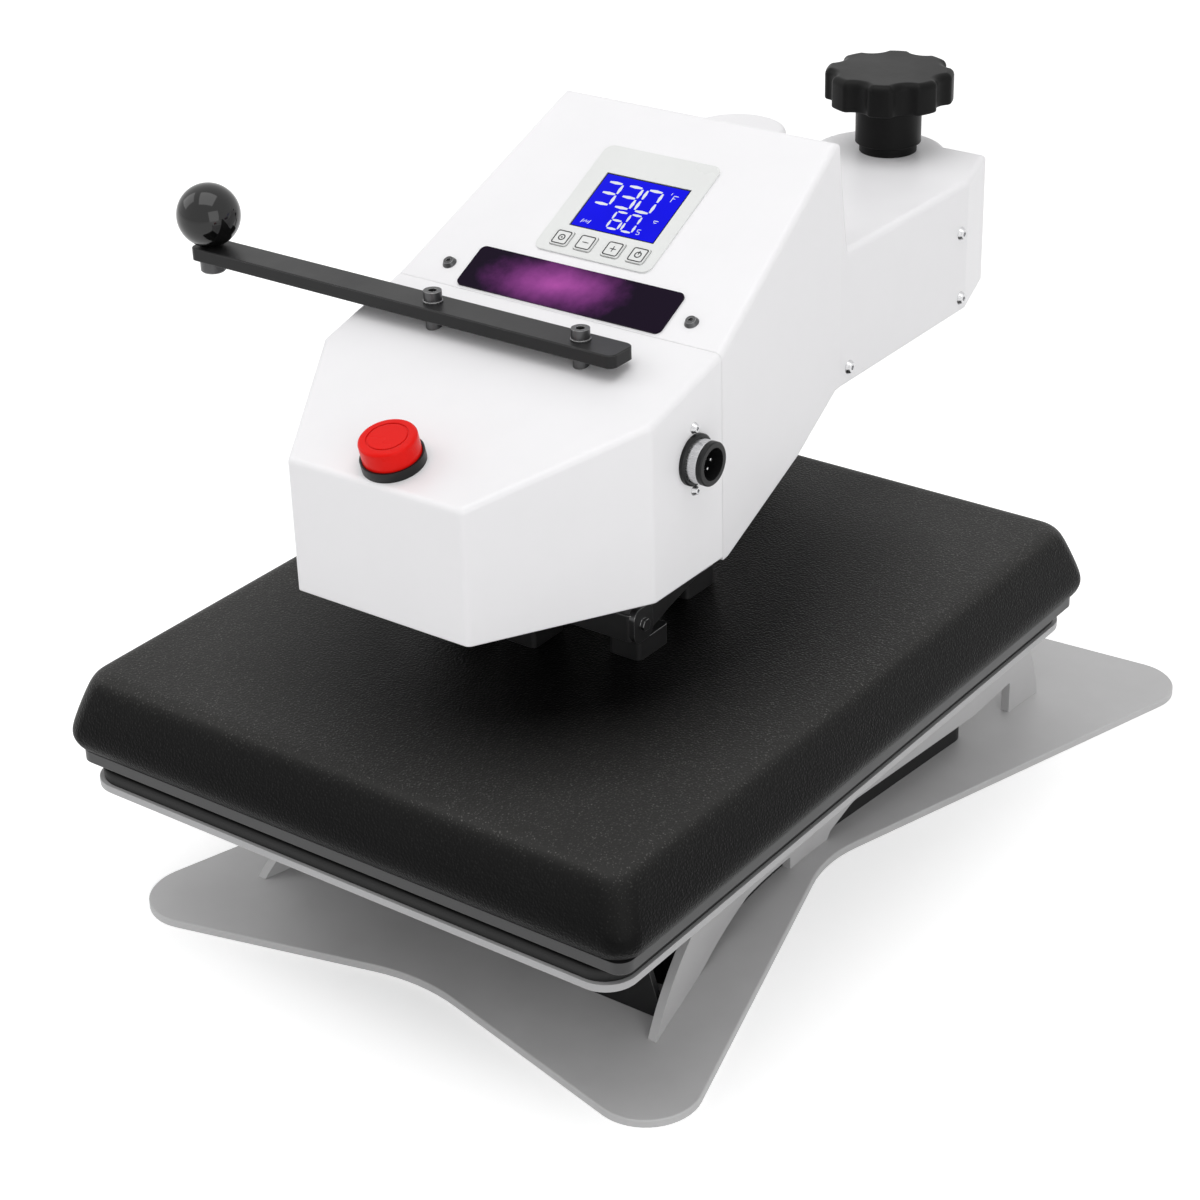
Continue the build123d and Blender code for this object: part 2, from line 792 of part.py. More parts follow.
with BuildPart() as hood_shell:
    add(hood_form(0, z_hood, seam_y))
    add(hood_form(sheet, z_hood - overrun, seam_y + overrun), mode=Mode.SUBTRACT)
    with BuildSketch(button_plane):
        Circle(button_stem_radius + 2 + slip_gap)
    extrude(amount=3 * sheet, both=True, mode=Mode.SUBTRACT)
    with BuildSketch(Plane.XY.offset(z_bar)):
        with Locations((bar_screw_left, bar_y), (bar_screw_right, bar_y)):
            Circle(bar_screw_radius + shaft_gap)
    extrude(amount=-4 * bar_clearance, mode=Mode.SUBTRACT)
    with BuildSketch(socket_wall):
        with Locations(socket_spot):
            Circle(socket_radius + shaft_gap)
        with Locations(*socket_screw_spots):
            Circle(socket_screw_radius + shaft_gap)
    extrude(amount=-3 * sheet, mode=Mode.SUBTRACT)
hood_shell.part.label = "hood_shell"
export_step(hood_shell.part, "parts/hood_shell.step")


# Points of the plan outline of the arm, which has round lobes for the pressure screw and the shaft
def arm_outline(front):
    taper = (arm_half_width - hood_fold_half_width) / (arm_taper_end - seam_y)
    front_half = hood_fold_half_width + (front - seam_y) * taper
    lobe_x, lobe_y = knob_lobe_centre
    lobe_left = lobe_x - knob_lobe_radius
    wall_end = lobe_x + (knob_lobe_radius**2 - (rear_wall_y - lobe_y) ** 2) ** 0.5
    pivot_right = pivot_x + pivot_lobe_radius
    pivot_left = pivot_x - pivot_lobe_radius
    with BuildLine() as outline:
        Polyline(
            (-front_half, front),
            (front_half, front),
            (arm_half_width, arm_taper_end),
            (arm_half_width, chamfer_y),
            (rear_wall_half_width, rear_wall_y),
            (wall_end, rear_wall_y),
        )
        ThreePointArc((wall_end, rear_wall_y), (lobe_x, lobe_y + knob_lobe_radius), (lobe_left, lobe_y))
        Polyline(
            (lobe_left, lobe_y), (lobe_left, notch_y), (pivot_right, notch_y), (pivot_right, pivot_y)
        )
        ThreePointArc((pivot_right, pivot_y), (pivot_x, pivot_y + pivot_lobe_radius), (pivot_left, pivot_y))
        Polyline(
            (pivot_left, pivot_y),
            (pivot_left, pivot_y - pivot_lobe_radius / 2),
            (-arm_half_width, pivot_y - 1.6 * pivot_lobe_radius),
            (-arm_half_width, arm_taper_end),
            (-front_half, front),
        )
    return outline.wires()[0]


def arm_form(inset, below):
    """Tower and rear block, drawn in by inset and running on past the seam, with a deeper underside."""
    front = seam_y - overrun
    knee_y, knee_drop = underside_knee
    with BuildPart() as form:
        with BuildSketch(Plane.YZ):
            with BuildLine():
                Polyline(
                    (front, z_arm - below),
                    (front, z_fold + (front - seam_y) * tan(radians(panel_slope))),
                    (tower_top_y, z_tower_top),
                    (tower_top_y + tower_lean, z_block_top),
                    (arm_rear, z_block_top),
                    (arm_rear, z_block - below),
                    (underside_end, z_block - below),
                    (knee_y, z_block + knee_drop - below),
                    (underside_start, z_arm - below),
                    close=True,
                )
            make_face()
            if inset:
                offset(amount=-inset, kind=Kind.INTERSECTION)
        extrude(amount=2 * hood_fold_half_width, both=True)
        with BuildSketch():
            make_face(arm_outline(front))
            if inset:
                offset(amount=-inset, kind=Kind.INTERSECTION)
        extrude(amount=2 * z_tower_top, mode=Mode.INTERSECT)
        top = form.faces().filter_by(lambda face: face.normal_at().Z > 0.3).edges()
        folds = top.filter_by_position(Axis.Y, front + inset + 0.1, 2 * arm_rear)
        fillet(folds, bend_radius - inset)
    return form.part


window_centre = panel_start + window_start + window_height / 2
panel_centre = panel_start + panel_height / 2
cutout_height = window_height + window_start + key_size / 2
cutout_centre = panel_start + key_start - key_size / 2 + cutout_height / 2 - key_gap
right_screw_spots = [(y, z_block + rise) for y, rise in right_screw_places]
left_screw_spots = [(y, -z_block - rise) for y, rise in left_screw_places]
right_wall = Plane.YZ.offset(arm_half_width)
left_wall = Plane(origin=(-arm_half_width, 0, 0), x_dir=(0, 1, 0), z_dir=(-1, 0, 0))
inlet_spot = (inlet_y, z_block + inlet_rise)
fitting_spot = (air_fitting_y, z_block + inlet_rise)

with BuildPart() as arm_shell:
    add(arm_form(0, 0))
    add(arm_form(sheet, 10), mode=Mode.SUBTRACT)
    split(bisect_by=Plane.XZ.offset(-seam_y), keep=Keep.BOTTOM)
    with BuildSketch(panel_plane):
        with Locations((0, cutout_centre)):
            RectangleRounded(window_width + 4, cutout_height, 2)
        with Locations((-panel_screw_x, panel_screw_up), (panel_screw_x, panel_screw_up)):
            Circle(side_screw_radius + shaft_gap)
    extrude(amount=3 * sheet, both=True, mode=Mode.SUBTRACT)
    for wall, spots in ((right_wall, right_screw_spots), (left_wall, left_screw_spots)):
        with BuildSketch(wall):
            with Locations(*spots):
                Circle(side_screw_radius + shaft_gap)
        extrude(amount=3 * sheet, both=True, mode=Mode.SUBTRACT)
    with BuildSketch(Plane.YZ):
        with Locations(inlet_spot):
            Rectangle(
                inlet_width - 2 * inlet_frame + 2 * shaft_gap,
                inlet_height - 2 * inlet_frame + 2 * shaft_gap,
            )
        with Locations(fitting_spot):
            Circle(air_fitting_radius + shaft_gap)
    extrude(amount=-2 * arm_half_width, mode=Mode.SUBTRACT)
    with BuildSketch(Plane.XY.offset(z_block_top - 3 * sheet)):
        with Locations((knob_x, knob_y)):
            Circle(pressure_bush_radius + shaft_gap)
    extrude(amount=6 * sheet, mode=Mode.SUBTRACT)
arm_shell.part.label = "arm_shell"
export_step(arm_shell.part, "parts/arm_shell.step")

# Floor of the hood, set in above its lower edge, with a window for the lifting gear
with BuildPart() as hood_floor:
    add(hood_form(sheet, z_floor, seam_y))
    with BuildSketch(Plane.XY.offset(z_floor + sheet)):
        Rectangle(4 * hood_fold_half_width, 4 * hood_fold_half_width)
    extrude(amount=z_fold, mode=Mode.SUBTRACT)
    with BuildSketch(Plane.XY.offset(z_floor)):
        with Locations((0, floor_window_front)):
            Rectangle(floor_window_width, -floor_window_front, align=(Align.CENTER, Align.MIN))
    extrude(amount=sheet, mode=Mode.SUBTRACT)
hood_floor.part.label = "hood_floor"
export_step(hood_floor.part, "parts/hood_floor.step")

# Floor of the arm, a folded sheet between the side walls
floor_start = foot_rail_rear + 1
floor_slope = (z_block + underside_knee[1] - z_arm) / (underside_knee[0] - underside_start)
z_floor_start = z_arm + (floor_start - underside_start) * floor_slope
with BuildPart() as arm_floor:
    with BuildSketch(Plane.YZ):
        with BuildLine():
            knee = (underside_knee[0], z_block + underside_knee[1])
            lower = [(floor_start, z_floor_start), knee, (underside_end, z_block), (arm_rear, z_block)]
            upper = [(y, z + sheet) for y, z in reversed(lower)]
            Polyline(*lower, *upper, close=True)
        make_face()
    extrude(amount=2 * hood_fold_half_width, both=True)
    with BuildSketch():
        make_face(arm_outline(seam_y))
        offset(amount=-sheet, kind=Kind.INTERSECTION)
    extrude(amount=z_tower_top, mode=Mode.INTERSECT)
    with BuildSketch():
        with Locations(pivot):
            Circle(bearing_boss_radius + slip_gap)
        with Locations((0, 0), *guide_places):
            Circle(guide_rod_radius + 2)
    extrude(amount=z_tower_top, mode=Mode.SUBTRACT)
arm_floor.part.label = "arm_floor"
export_step(arm_floor.part, "parts/arm_floor.step")

# Welded frame inside the head: two side plates, and cross plates at the front and rear
block_bolt_places = [
    (-0.3 * guide_block_length, z_guide + guide_block_height / 2),
    (0.3 * guide_block_length, z_guide + guide_block_height / 2),
]
with BuildPart() as arm_frame:
    with BuildSketch(Plane.YZ):
        with BuildLine():
            tan_hood = tan(radians(hood_slope))
            tan_panel = tan(radians(panel_slope))
            z_frame_front = z_hood_front + (frame_front - hood_front_y) * tan_hood - frame_inset
            panel_top_y = tower_top_y - frame_inset
            Polyline(
                (frame_front, z_floor + sheet),
                (foot_rail_front, z_floor + sheet),
                (foot_rail_front, z_hood - foot_rail_drop),
                (foot_rail_rear, z_hood - foot_rail_drop),
                (foot_rail_rear, z_floor_start + 2 * sheet),
                (underside_knee[0], z_block + underside_knee[1] + 2 * sheet),
                (underside_end, z_block + 2 * sheet),
                (frame_rear, z_block + sheet),
                (frame_rear, z_block + frame_rear_height),
                (tower_top_y + tower_lean, z_block + frame_rear_height),
                (panel_top_y, z_tower_top - frame_inset * (1.2 + tan_panel)),
                (seam_y, z_fold - 1.2 * frame_inset),
                (frame_front, z_frame_front),
                close=True,
            )
        make_face()
    extrude(amount=frame_outer, both=True)
    with BuildSketch(Plane.XY):
        with Locations((0, (frame_front + frame_rear) / 2)):
            Rectangle(
                2 * (frame_outer - frame_thickness), frame_rear - frame_front - 2 * frame_thickness
            )
    extrude(amount=2 * z_tower_top, mode=Mode.SUBTRACT)
    with BuildSketch(Plane.YZ):
        with Locations(right_screw_spots[2]):
            Circle(side_screw_radius + shaft_gap)
        with Locations(*block_bolt_places):
            Circle(frame_bolt_radius + shaft_gap)
        with Locations((underside_knee[0], z_block + block_height / 2)):
            Circle(block_height / 3)
    extrude(amount=2 * frame_outer, both=True, mode=Mode.SUBTRACT)
    z_frame_bolts = z_block + frame_rear_height / 2
    with BuildSketch(Plane.XZ.offset(-frame_rear)):
        with Locations((0, z_frame_bolts)):
            with GridLocations(frame_bolt_spacing_x, frame_bolt_spacing_z, 2, 2):
                Circle(frame_bolt_radius + shaft_gap)
    extrude(amount=2 * frame_thickness, mode=Mode.SUBTRACT)
arm_frame.part.label = "arm_frame"
export_step(arm_frame.part, "parts/arm_frame.step")

# Rear casting with the bearing boss for the swing shaft and a boss for the pressure screw
z_boss = z_block - sheet
with BuildPart() as rear_casting:
    with BuildSketch(Plane.XY.offset(z_casting)):
        with Locations((0, frame_rear)):
            Rectangle(2 * (arm_half_width - sheet), casting_length, align=(Align.CENTER, Align.MIN))
        with Locations((pivot_x, frame_rear + casting_length)):
            Rectangle(
                2 * bearing_boss_radius,
                pivot_y - frame_rear - casting_length,
                align=(Align.CENTER, Align.MIN),
            )
        with Locations(pivot):
            Circle(bearing_boss_radius)
        with Locations((knob_x, knob_y)):
            Circle(pressure_boss_radius)
            Rectangle(2 * pressure_boss_radius, knob_y - frame_rear, align=(Align.CENTER, Align.MAX))
    extrude(amount=z_casting_top - z_casting)
    with BuildSketch(Plane.XY.offset(z_boss)):
        with Locations(pivot):
            Circle(bearing_boss_radius)
    extrude(amount=z_casting - z_boss)
    with BuildSketch(Plane.XY.offset(z_boss)):
        with Locations(pivot):
            Circle(bush_radius + shaft_gap)
        with Locations((knob_x, knob_y)):
            Circle(pressure_screw_radius + shaft_gap)
    extrude(amount=z_casting_top - z_boss, mode=Mode.SUBTRACT)
    with BuildSketch(Plane.XY.offset(z_casting_top)):
        with Locations((knob_x, knob_y)):
            Circle(pressure_bush_radius + shaft_gap)
    extrude(amount=-pressure_bush_depth, mode=Mode.SUBTRACT)
    for wall, spots in ((right_wall, right_screw_spots), (left_wall, left_screw_spots)):
        with BuildSketch(wall):
            with Locations(*spots):
                Circle(side_screw_radius + shaft_gap)
        extrude(amount=-side_screw_length - 1, mode=Mode.SUBTRACT)
    with BuildSketch(Plane.XZ.offset(-frame_rear)):
        with Locations((0, z_frame_bolts)):
            with GridLocations(frame_bolt_spacing_x, frame_bolt_spacing_z, 2, 2):
                Circle(frame_bolt_radius + shaft_gap)
    extrude(amount=-4 * frame_bolt_radius, mode=Mode.SUBTRACT)
rear_casting.part.label = "rear_casting"
export_step(rear_casting.part, "parts/rear_casting.step")

with BuildPart() as frame_bolts:
    with BuildSketch(Plane.XZ.offset(frame_thickness - frame_rear)):
        with Locations((0, z_frame_bolts)):
            with GridLocations(frame_bolt_spacing_x, frame_bolt_spacing_z, 2, 2):
                Circle(frame_bolt_radius)
    extrude(amount=-frame_thickness - 3 * frame_bolt_radius)
    with BuildSketch(Plane.XZ.offset(frame_thickness - frame_rear)):
        with Locations((0, z_frame_bolts)):
            with GridLocations(frame_bolt_spacing_x, frame_bolt_spacing_z, 2, 2):
                RegularPolygon(hexagon_share * frame_bolt_radius, 6)
    extrude(amount=frame_bolt_radius)
    for side in (-1, 1):
        with BuildSketch(Plane.YZ.offset(side * frame_outer)):
            with Locations(*block_bolt_places):
                RegularPolygon(hexagon_share * frame_bolt_radius, 6)
        extrude(amount=side * frame_bolt_radius)
        with BuildSketch(Plane.YZ.offset(side * frame_outer)):
            with Locations(*block_bolt_places):
                Circle(frame_bolt_radius)
        extrude(amount=-side * (frame_thickness + 3 * frame_bolt_radius))
frame_bolts.part.label = "frame_bolts"
export_step(frame_bolts.part, "parts/frame_bolts.step")

with BuildPart() as swing_bushes:
    for bottom in (z_boss, z_casting_top - bush_length):
        with BuildSketch(Plane.XY.offset(bottom)):
            with Locations(pivot):
                Circle(bush_radius)
                Circle(shaft_radius + shaft_gap, mode=Mode.SUBTRACT)
        extrude(amount=bush_length)
swing_bushes.part.label = "swing_bushes"
export_step(swing_bushes.part, "parts/swing_bushes.step")

# Guide block, bolted between the frame's side plates, its bushes and the air cylinder on it
guide_bush_radius = guide_rod_radius + shaft_gap + guide_bush_wall
with BuildPart() as guide_block:
    with BuildSketch(Plane.XY.offset(z_guide)):
        Rectangle(2 * (frame_outer - frame_thickness), guide_block_length)
        with Locations(*guide_places):
            Circle(guide_bush_radius + shaft_gap, mode=Mode.SUBTRACT)
        Circle(piston_rod_radius + shaft_gap, mode=Mode.SUBTRACT)
    extrude(amount=guide_block_height)
    for side in (-1, 1):
        with BuildSketch(Plane.YZ.offset(side * (frame_outer - frame_thickness))):
            with Locations(*block_bolt_places):
                Circle(frame_bolt_radius + shaft_gap)
        extrude(amount=-side * 3 * frame_bolt_radius, mode=Mode.SUBTRACT)
guide_block.part.label = "guide_block"
export_step(guide_block.part, "parts/guide_block.step")

with BuildPart() as guide_bushes:
    with BuildSketch(Plane.XY.offset(z_guide)):
        with Locations(*guide_places):
            Circle(guide_bush_radius)
            Circle(guide_rod_radius + shaft_gap, mode=Mode.SUBTRACT)
    extrude(amount=guide_block_height)
guide_bushes.part.label = "guide_bushes"
export_step(guide_bushes.part, "parts/guide_bushes.step")

with BuildPart() as air_cylinder:
    with BuildSketch(Plane.XY.offset(z_guide_top)):
        Circle(cylinder_radius)
        Circle(cylinder_bore, mode=Mode.SUBTRACT)
    extrude(amount=cylinder_height)
    with BuildSketch(Plane.XY.offset(z_guide_top + cylinder_height)):
        Circle(cylinder_radius)
    extrude(amount=cylinder_cap)
    chamfer(air_cylinder.edges().group_by(Axis.Z)[-1], 1.5)
air_cylinder.part.label = "air_cylinder"
export_step(air_cylinder.part, "parts/air_cylinder.step")

# Pressure knob, its screw and the flanged nut that it turns on, let into the casting
z_collar_top = z_block_top + knob_foot_height
z_knob = z_collar_top + slip_gap
z_knob_body = z_knob + knob_neck_height
with BuildPart() as knob_collar:
    with BuildSketch(Plane.XY.offset(z_block_top)):
        with Locations((knob_x, knob_y)):
            Circle(knob_foot_radius)
    extrude(amount=knob_foot_height)
    chamfer(knob_collar.edges().group_by(Axis.Z)[-1], 1)
    with BuildSketch(Plane.XY.offset(z_block_top)):
        with Locations((knob_x, knob_y)):
            Circle(pressure_bush_radius)
    extrude(amount=-sheet - casting_top_gap - pressure_bush_depth)
    with BuildSketch(Plane.XY.offset(z_collar_top)):
        with Locations((knob_x, knob_y)):
            Circle(pressure_screw_radius + shaft_gap)
    extrude(amount=-2 * (pressure_bush_depth + casting_top_gap), mode=Mode.SUBTRACT)
knob_collar.part.label = "knob_collar"
export_step(knob_collar.part, "parts/knob_collar.step")

with BuildPart() as pressure_screw:
    with BuildSketch(Plane.XY.offset(z_casting + 2)):
        with Locations((knob_x, knob_y)):
            Circle(pressure_screw_radius)
    extrude(amount=z_knob_body - z_casting - 2)
    chamfer(pressure_screw.edges().group_by(Axis.Z)[0], 1)
pressure_screw.part.label = "pressure_screw"
export_step(pressure_screw.part, "parts/pressure_screw.step")

with BuildPart() as pressure_knob:
    with BuildSketch(Plane.XY.offset(z_knob_body)) as lobes:
        with Locations((knob_x, knob_y)):
            Circle(knob_radius)
            with PolarLocations(knob_radius + knob_scallop_radius - knob_scallop_depth, knob_lobes):
                Circle(knob_scallop_radius, mode=Mode.SUBTRACT)
        fillet(lobes.vertices(), knob_lobe_fillet)
    extrude(amount=knob_body_height)
    fillet(pressure_knob.edges().group_by(Axis.Z)[-1], knob_top_fillet)
    fillet(pressure_knob.edges().group_by(Axis.Z)[0], 1.5)
    with BuildSketch(Plane.XY.offset(z_knob)):
        with Locations((knob_x, knob_y)):
            Circle(knob_neck_radius)
    extrude(amount=knob_neck_height + 1)
    with BuildSketch(Plane.XY.offset(z_knob)):
        with Locations((knob_x, knob_y)):
            Circle(pressure_screw_radius + shaft_gap)
    extrude(amount=knob_neck_height, mode=Mode.SUBTRACT)
pressure_knob.part.label = "pressure_knob"
export_step(pressure_knob.part, "parts/pressure_knob.step")

# Display unit: trim strip, membrane panel, window, keys and the board that carries them
with BuildPart() as strip_plate:
    with BuildSketch(panel_plane):
        with Locations((0, strip_start)):
            RectangleRounded(strip_width, strip_height, 4, align=(Align.CENTER, Align.MIN))
    extrude(amount=strip_thickness)
strip_plate.part.label = "strip_plate"
export_step(strip_plate.part, "parts/strip_plate.step")

key_spots = [(x, panel_start + key_start) for x in key_places]
with BuildPart() as membrane_panel:
    with BuildSketch(panel_plane):
        with Locations((0, panel_start)):
            RectangleRounded(panel_width, panel_height, panel_corner, align=(Align.CENTER, Align.MIN))
        with Locations((panel_shift, window_centre)):
            Rectangle(window_width, window_height, mode=Mode.SUBTRACT)
        with Locations(*key_spots):
            RectangleRounded(key_size + 2 * key_gap, key_size + 2 * key_gap, 2, mode=Mode.SUBTRACT)
    extrude(amount=panel_thickness)
membrane_panel.part.label = "membrane_panel"
export_step(membrane_panel.part, "parts/membrane_panel.step")

with BuildPart() as lcd_module:
    with BuildSketch(panel_plane.offset(-board_depth)):
        with Locations((panel_shift, window_centre)):
            Rectangle(window_width - slip_gap, window_height - slip_gap)
    extrude(amount=board_depth + panel_thickness - 0.4)
lcd_module.part.label = "lcd_module"
export_step(lcd_module.part, "parts/lcd_module.step")

board_width = window_width + 2 * board_margin
board_height = cutout_height + 2 * board_margin
with BuildPart() as control_board:
    with BuildSketch(panel_plane.offset(-board_depth - board_thickness)):
        with Locations((0, cutout_centre)):
            RectangleRounded(board_width, board_height, 3)
    extrude(amount=board_thickness)
    with BuildSketch(panel_plane.offset(-board_depth)):
        with Locations((0, cutout_centre)):
            with GridLocations(
                board_width - 2 * board_pillar_inset, board_height - 2 * board_pillar_inset, 2, 2
            ):
                Circle(board_pillar_radius)
    extrude(amount=board_depth - sheet)
    with BuildSketch(panel_plane.offset(-board_depth)):
        with Locations(*key_spots):
            Rectangle(key_size / 2, key_size / 2)
    extrude(amount=board_depth / 2)
control_board.part.label = "control_board"
export_step(control_board.part, "parts/control_board.step")

for number, spot in enumerate(key_spots, start=1):
    with BuildPart() as key:
        with BuildSketch(panel_plane.offset(slip_gap + key_travel)):
            with Locations(spot):
                RectangleRounded(key_size, key_size, 1.5)
        extrude(amount=panel_thickness + key_height - slip_gap - key_travel)
        with BuildSketch(panel_plane.offset(slip_gap + key_travel)):
            with Locations(spot):
                Circle(key_size / 5)
        extrude(amount=-(board_depth / 2))
    key.part.label = f"key_{number}"
    export_step(key.part, f"parts/key_{number}.step")


def button_screws(plane, spots, radius, head_radius, length):
    """Domed screws with a hexagon socket, on the given plane."""
    with BuildPart() as screws:
        with BuildSketch(plane):
            with Locations(*spots):
                Circle(head_radius)
        extrude(amount=side_screw_head_height, taper=28)
        with BuildSketch(plane):
            with Locations(*spots):
                Circle(radius)
        extrude(amount=-length)
        with BuildSketch(plane.offset(side_screw_head_height)):
            with Locations(*spots):
                RegularPolygon(0.35 * head_radius, 6)
        extrude(amount=-0.6 * side_screw_head_height, mode=Mode.SUBTRACT)
    return screws.part


with BuildPart() as side_screws:
    for wall, spots in ((right_wall, right_screw_spots), (left_wall, left_screw_spots)):
        add(button_screws(wall, spots, side_screw_radius, side_screw_head_radius, side_screw_length))
side_screws.part.label = "side_screws"
export_step(side_screws.part, "parts/side_screws.step")

with BuildPart() as panel_screws:
    spots = [(-panel_screw_x, panel_screw_up), (panel_screw_x, panel_screw_up)]
    add(button_screws(panel_plane, spots, side_screw_radius, side_screw_head_radius, 3 * sheet))
panel_screws.part.label = "panel_screws"
export_step(panel_screws.part, "parts/panel_screws.step")

# Round socket in the hood's right wall: silver barrel, clamping nut, black lining and screws
lining_radius = socket_radius - socket_lining
with BuildPart() as socket_barrel:
    with BuildSketch(socket_wall.offset(-sheet)):
        with Locations(socket_spot):
            Rectangle(2 * socket_radius + sheet, socket_screw_spacing + 4 * side_screw_radius)
    extrude(amount=-sheet)
    with BuildSketch(socket_wall.offset(-2 * sheet)):
        with Locations(socket_spot):
            Circle(socket_radius)
    extrude(amount=2 * sheet + socket_band)
    with BuildSketch(socket_wall.offset(-2 * sheet)):
        with Locations(socket_spot):
            Circle(lining_radius)
        with Locations(*socket_screw_spots):
            Circle(socket_screw_radius + shaft_gap)
    extrude(amount=2 * sheet + socket_band, mode=Mode.SUBTRACT)
socket_barrel.part.label = "socket_barrel"
export_step(socket_barrel.part, "parts/socket_barrel.step")

with BuildPart() as socket_nut:
    with BuildSketch(socket_wall):
        with Locations(socket_spot):
            Circle(socket_flange_radius)
            Circle(socket_radius + shaft_gap, mode=Mode.SUBTRACT)
    extrude(amount=socket_flange_thickness)
    chamfer(socket_nut.edges().group_by(Axis.X)[-1].sort_by(SortBy.RADIUS)[-1], 0.8)
socket_nut.part.label = "socket_nut"
export_step(socket_nut.part, "parts/socket_nut.step")

with BuildPart() as socket_insert:
    with BuildSketch(socket_wall.offset(-2 * sheet)):
        with Locations(socket_spot):
            Circle(lining_radius - shaft_gap)
    extrude(amount=2 * sheet + socket_band)
    with BuildSketch(socket_wall.offset(socket_band)):
        with Locations(socket_spot):
            Circle(socket_radius)
    extrude(amount=socket_reach - socket_band)
    chamfer(socket_insert.edges().group_by(Axis.X)[-1], 0.6)
    with BuildSketch(socket_wall.offset(socket_reach)):
        with Locations(socket_spot):
            Circle(socket_bore)
    extrude(amount=-socket_depth, mode=Mode.SUBTRACT)
    with BuildSketch(socket_wall.offset(socket_reach - socket_depth)):
        with Locations(socket_spot):
            with PolarLocations(socket_bore / 2, 5):
                Circle(socket_contact_radius)
    extrude(amount=-sheet, mode=Mode.SUBTRACT)
socket_insert.part.label = "socket_insert"
export_step(socket_insert.part, "parts/socket_insert.step")

with BuildPart() as socket_screws:
    add(
        button_screws(
            socket_wall, socket_screw_spots, socket_screw_radius, socket_screw_head_radius, 2 * sheet
        )
    )
socket_screws.part.label = "socket_screws"
export_step(socket_screws.part, "parts/socket_screws.step")

# Push button on the hood: collar, red cap and the contact block behind it
with BuildPart() as button_collar:
    with BuildSketch(button_plane):
        Circle(button_collar_radius)
    extrude(amount=button_collar_height)
    with BuildSketch(button_plane.offset(button_floor)):
        Circle(button_radius + slip_gap)
    extrude(amount=button_collar_height, mode=Mode.SUBTRACT)
    with BuildSketch(button_plane):
        Circle(button_stem_radius + 2)
    extrude(amount=-button_stem_length + button_floor)
    with BuildSketch(button_plane.offset(button_floor)):
        Circle(button_stem_radius + slip_gap)
    extrude(amount=-button_stem_length, mode=Mode.SUBTRACT)
button_collar.part.label = "button_collar"
export_step(button_collar.part, "parts/button_collar.step")

button_rest = button_floor + button_travel + slip_gap
with BuildPart() as button_cap:
    with BuildSketch(button_plane.offset(button_rest)):
        Circle(button_radius)
    extrude(amount=button_height - button_rest)
    fillet(button_cap.edges().filter_by(GeomType.CIRCLE).sort_by(Axis.Z)[-1], 2)
    with BuildSketch(button_plane.offset(button_rest)):
        Circle(button_stem_radius)
    extrude(amount=-(button_stem_length + button_floor - button_travel - slip_gap))
    with BuildSketch(button_plane.offset(button_height)):
        Circle(0.72 * button_radius)
        Circle(0.66 * button_radius, mode=Mode.SUBTRACT)
    extrude(amount=-0.6, mode=Mode.SUBTRACT)
button_cap.part.label = "button_cap"
export_step(button_cap.part, "parts/button_cap.step")

with BuildPart() as button_switch:
    with BuildSketch(button_plane.offset(button_floor - button_stem_length)):
        Rectangle(button_block_size, button_block_size)
    extrude(amount=-button_block_size)
    with BuildSketch(button_plane.offset(button_floor - button_stem_length)):
        Circle(button_stem_radius + slip_gap)
    extrude(amount=-button_travel - slip_gap, mode=Mode.SUBTRACT)
button_switch.part.label = "button_switch"
export_step(button_switch.part, "parts/button_switch.step")

# Swing handle: flat bar on two spacers, cap screws with washers, and a ball knob at its free end
screw_spots = [(bar_screw_left, bar_y), (bar_screw_right, bar_y)]
z_bar_top = z_bar + bar_thickness
with BuildPart() as handle_bar:
    with BuildSketch(Plane.XY.offset(z_bar)):
        with Locations(((bar_left + bar_right) / 2, bar_y)):
            RectangleRounded(bar_right - bar_left, bar_width, bar_corner)
        with Locations(*screw_spots):
            Circle(bar_screw_radius + shaft_gap, mode=Mode.SUBTRACT)
        with Locations((ball_x, bar_y)):
            Circle(ball_stud_radius + shaft_gap, mode=Mode.SUBTRACT)
    extrude(amount=bar_thickness)
    chamfer(handle_bar.edges().group_by(Axis.Z)[-1].sort_by(SortBy.LENGTH)[-8:], 0.6)
handle_bar.part.label = "handle_bar"
export_step(handle_bar.part, "parts/handle_bar.step")

with BuildPart() as handle_spacers:
    with BuildSketch(Plane.XY.offset(z_bar)):
        with Locations(*screw_spots):
            Circle(bar_spacer_radius)
            Circle(bar_screw_radius + shaft_gap, mode=Mode.SUBTRACT)
    extrude(amount=-2 * bar_clearance)
    split(bisect_by=button_plane, keep=Keep.TOP)
handle_spacers.part.label = "handle_spacers"
export_step(handle_spacers.part, "parts/handle_spacers.step")

with BuildPart() as handle_screws:
    with BuildSketch(Plane.XY.offset(z_bar_top)):
        with Locations(*screw_spots):
            Circle(bar_washer_radius)
    extrude(amount=bar_washer_thickness)
    with BuildSketch(Plane.XY.offset(z_bar_top + bar_washer_thickness)):
        with Locations(*screw_spots):
            Circle(bar_screw_head_radius)
    extrude(amount=bar_screw_head_height)
    with BuildSketch(Plane.XY.offset(z_bar_top)):
        with Locations(*screw_spots):
            Circle(bar_screw_radius)
    extrude(amount=-bar_thickness - 4 * bar_clearance)
    with BuildSketch(Plane.XY.offset(z_bar_top + bar_washer_thickness + bar_screw_head_height)):
        with Locations(*screw_spots):
            RegularPolygon(bar_screw_key_radius, 6)
    extrude(amount=-bar_screw_key_depth, mode=Mode.SUBTRACT)
handle_screws.part.label = "handle_screws"
export_step(handle_screws.part, "parts/handle_screws.step")

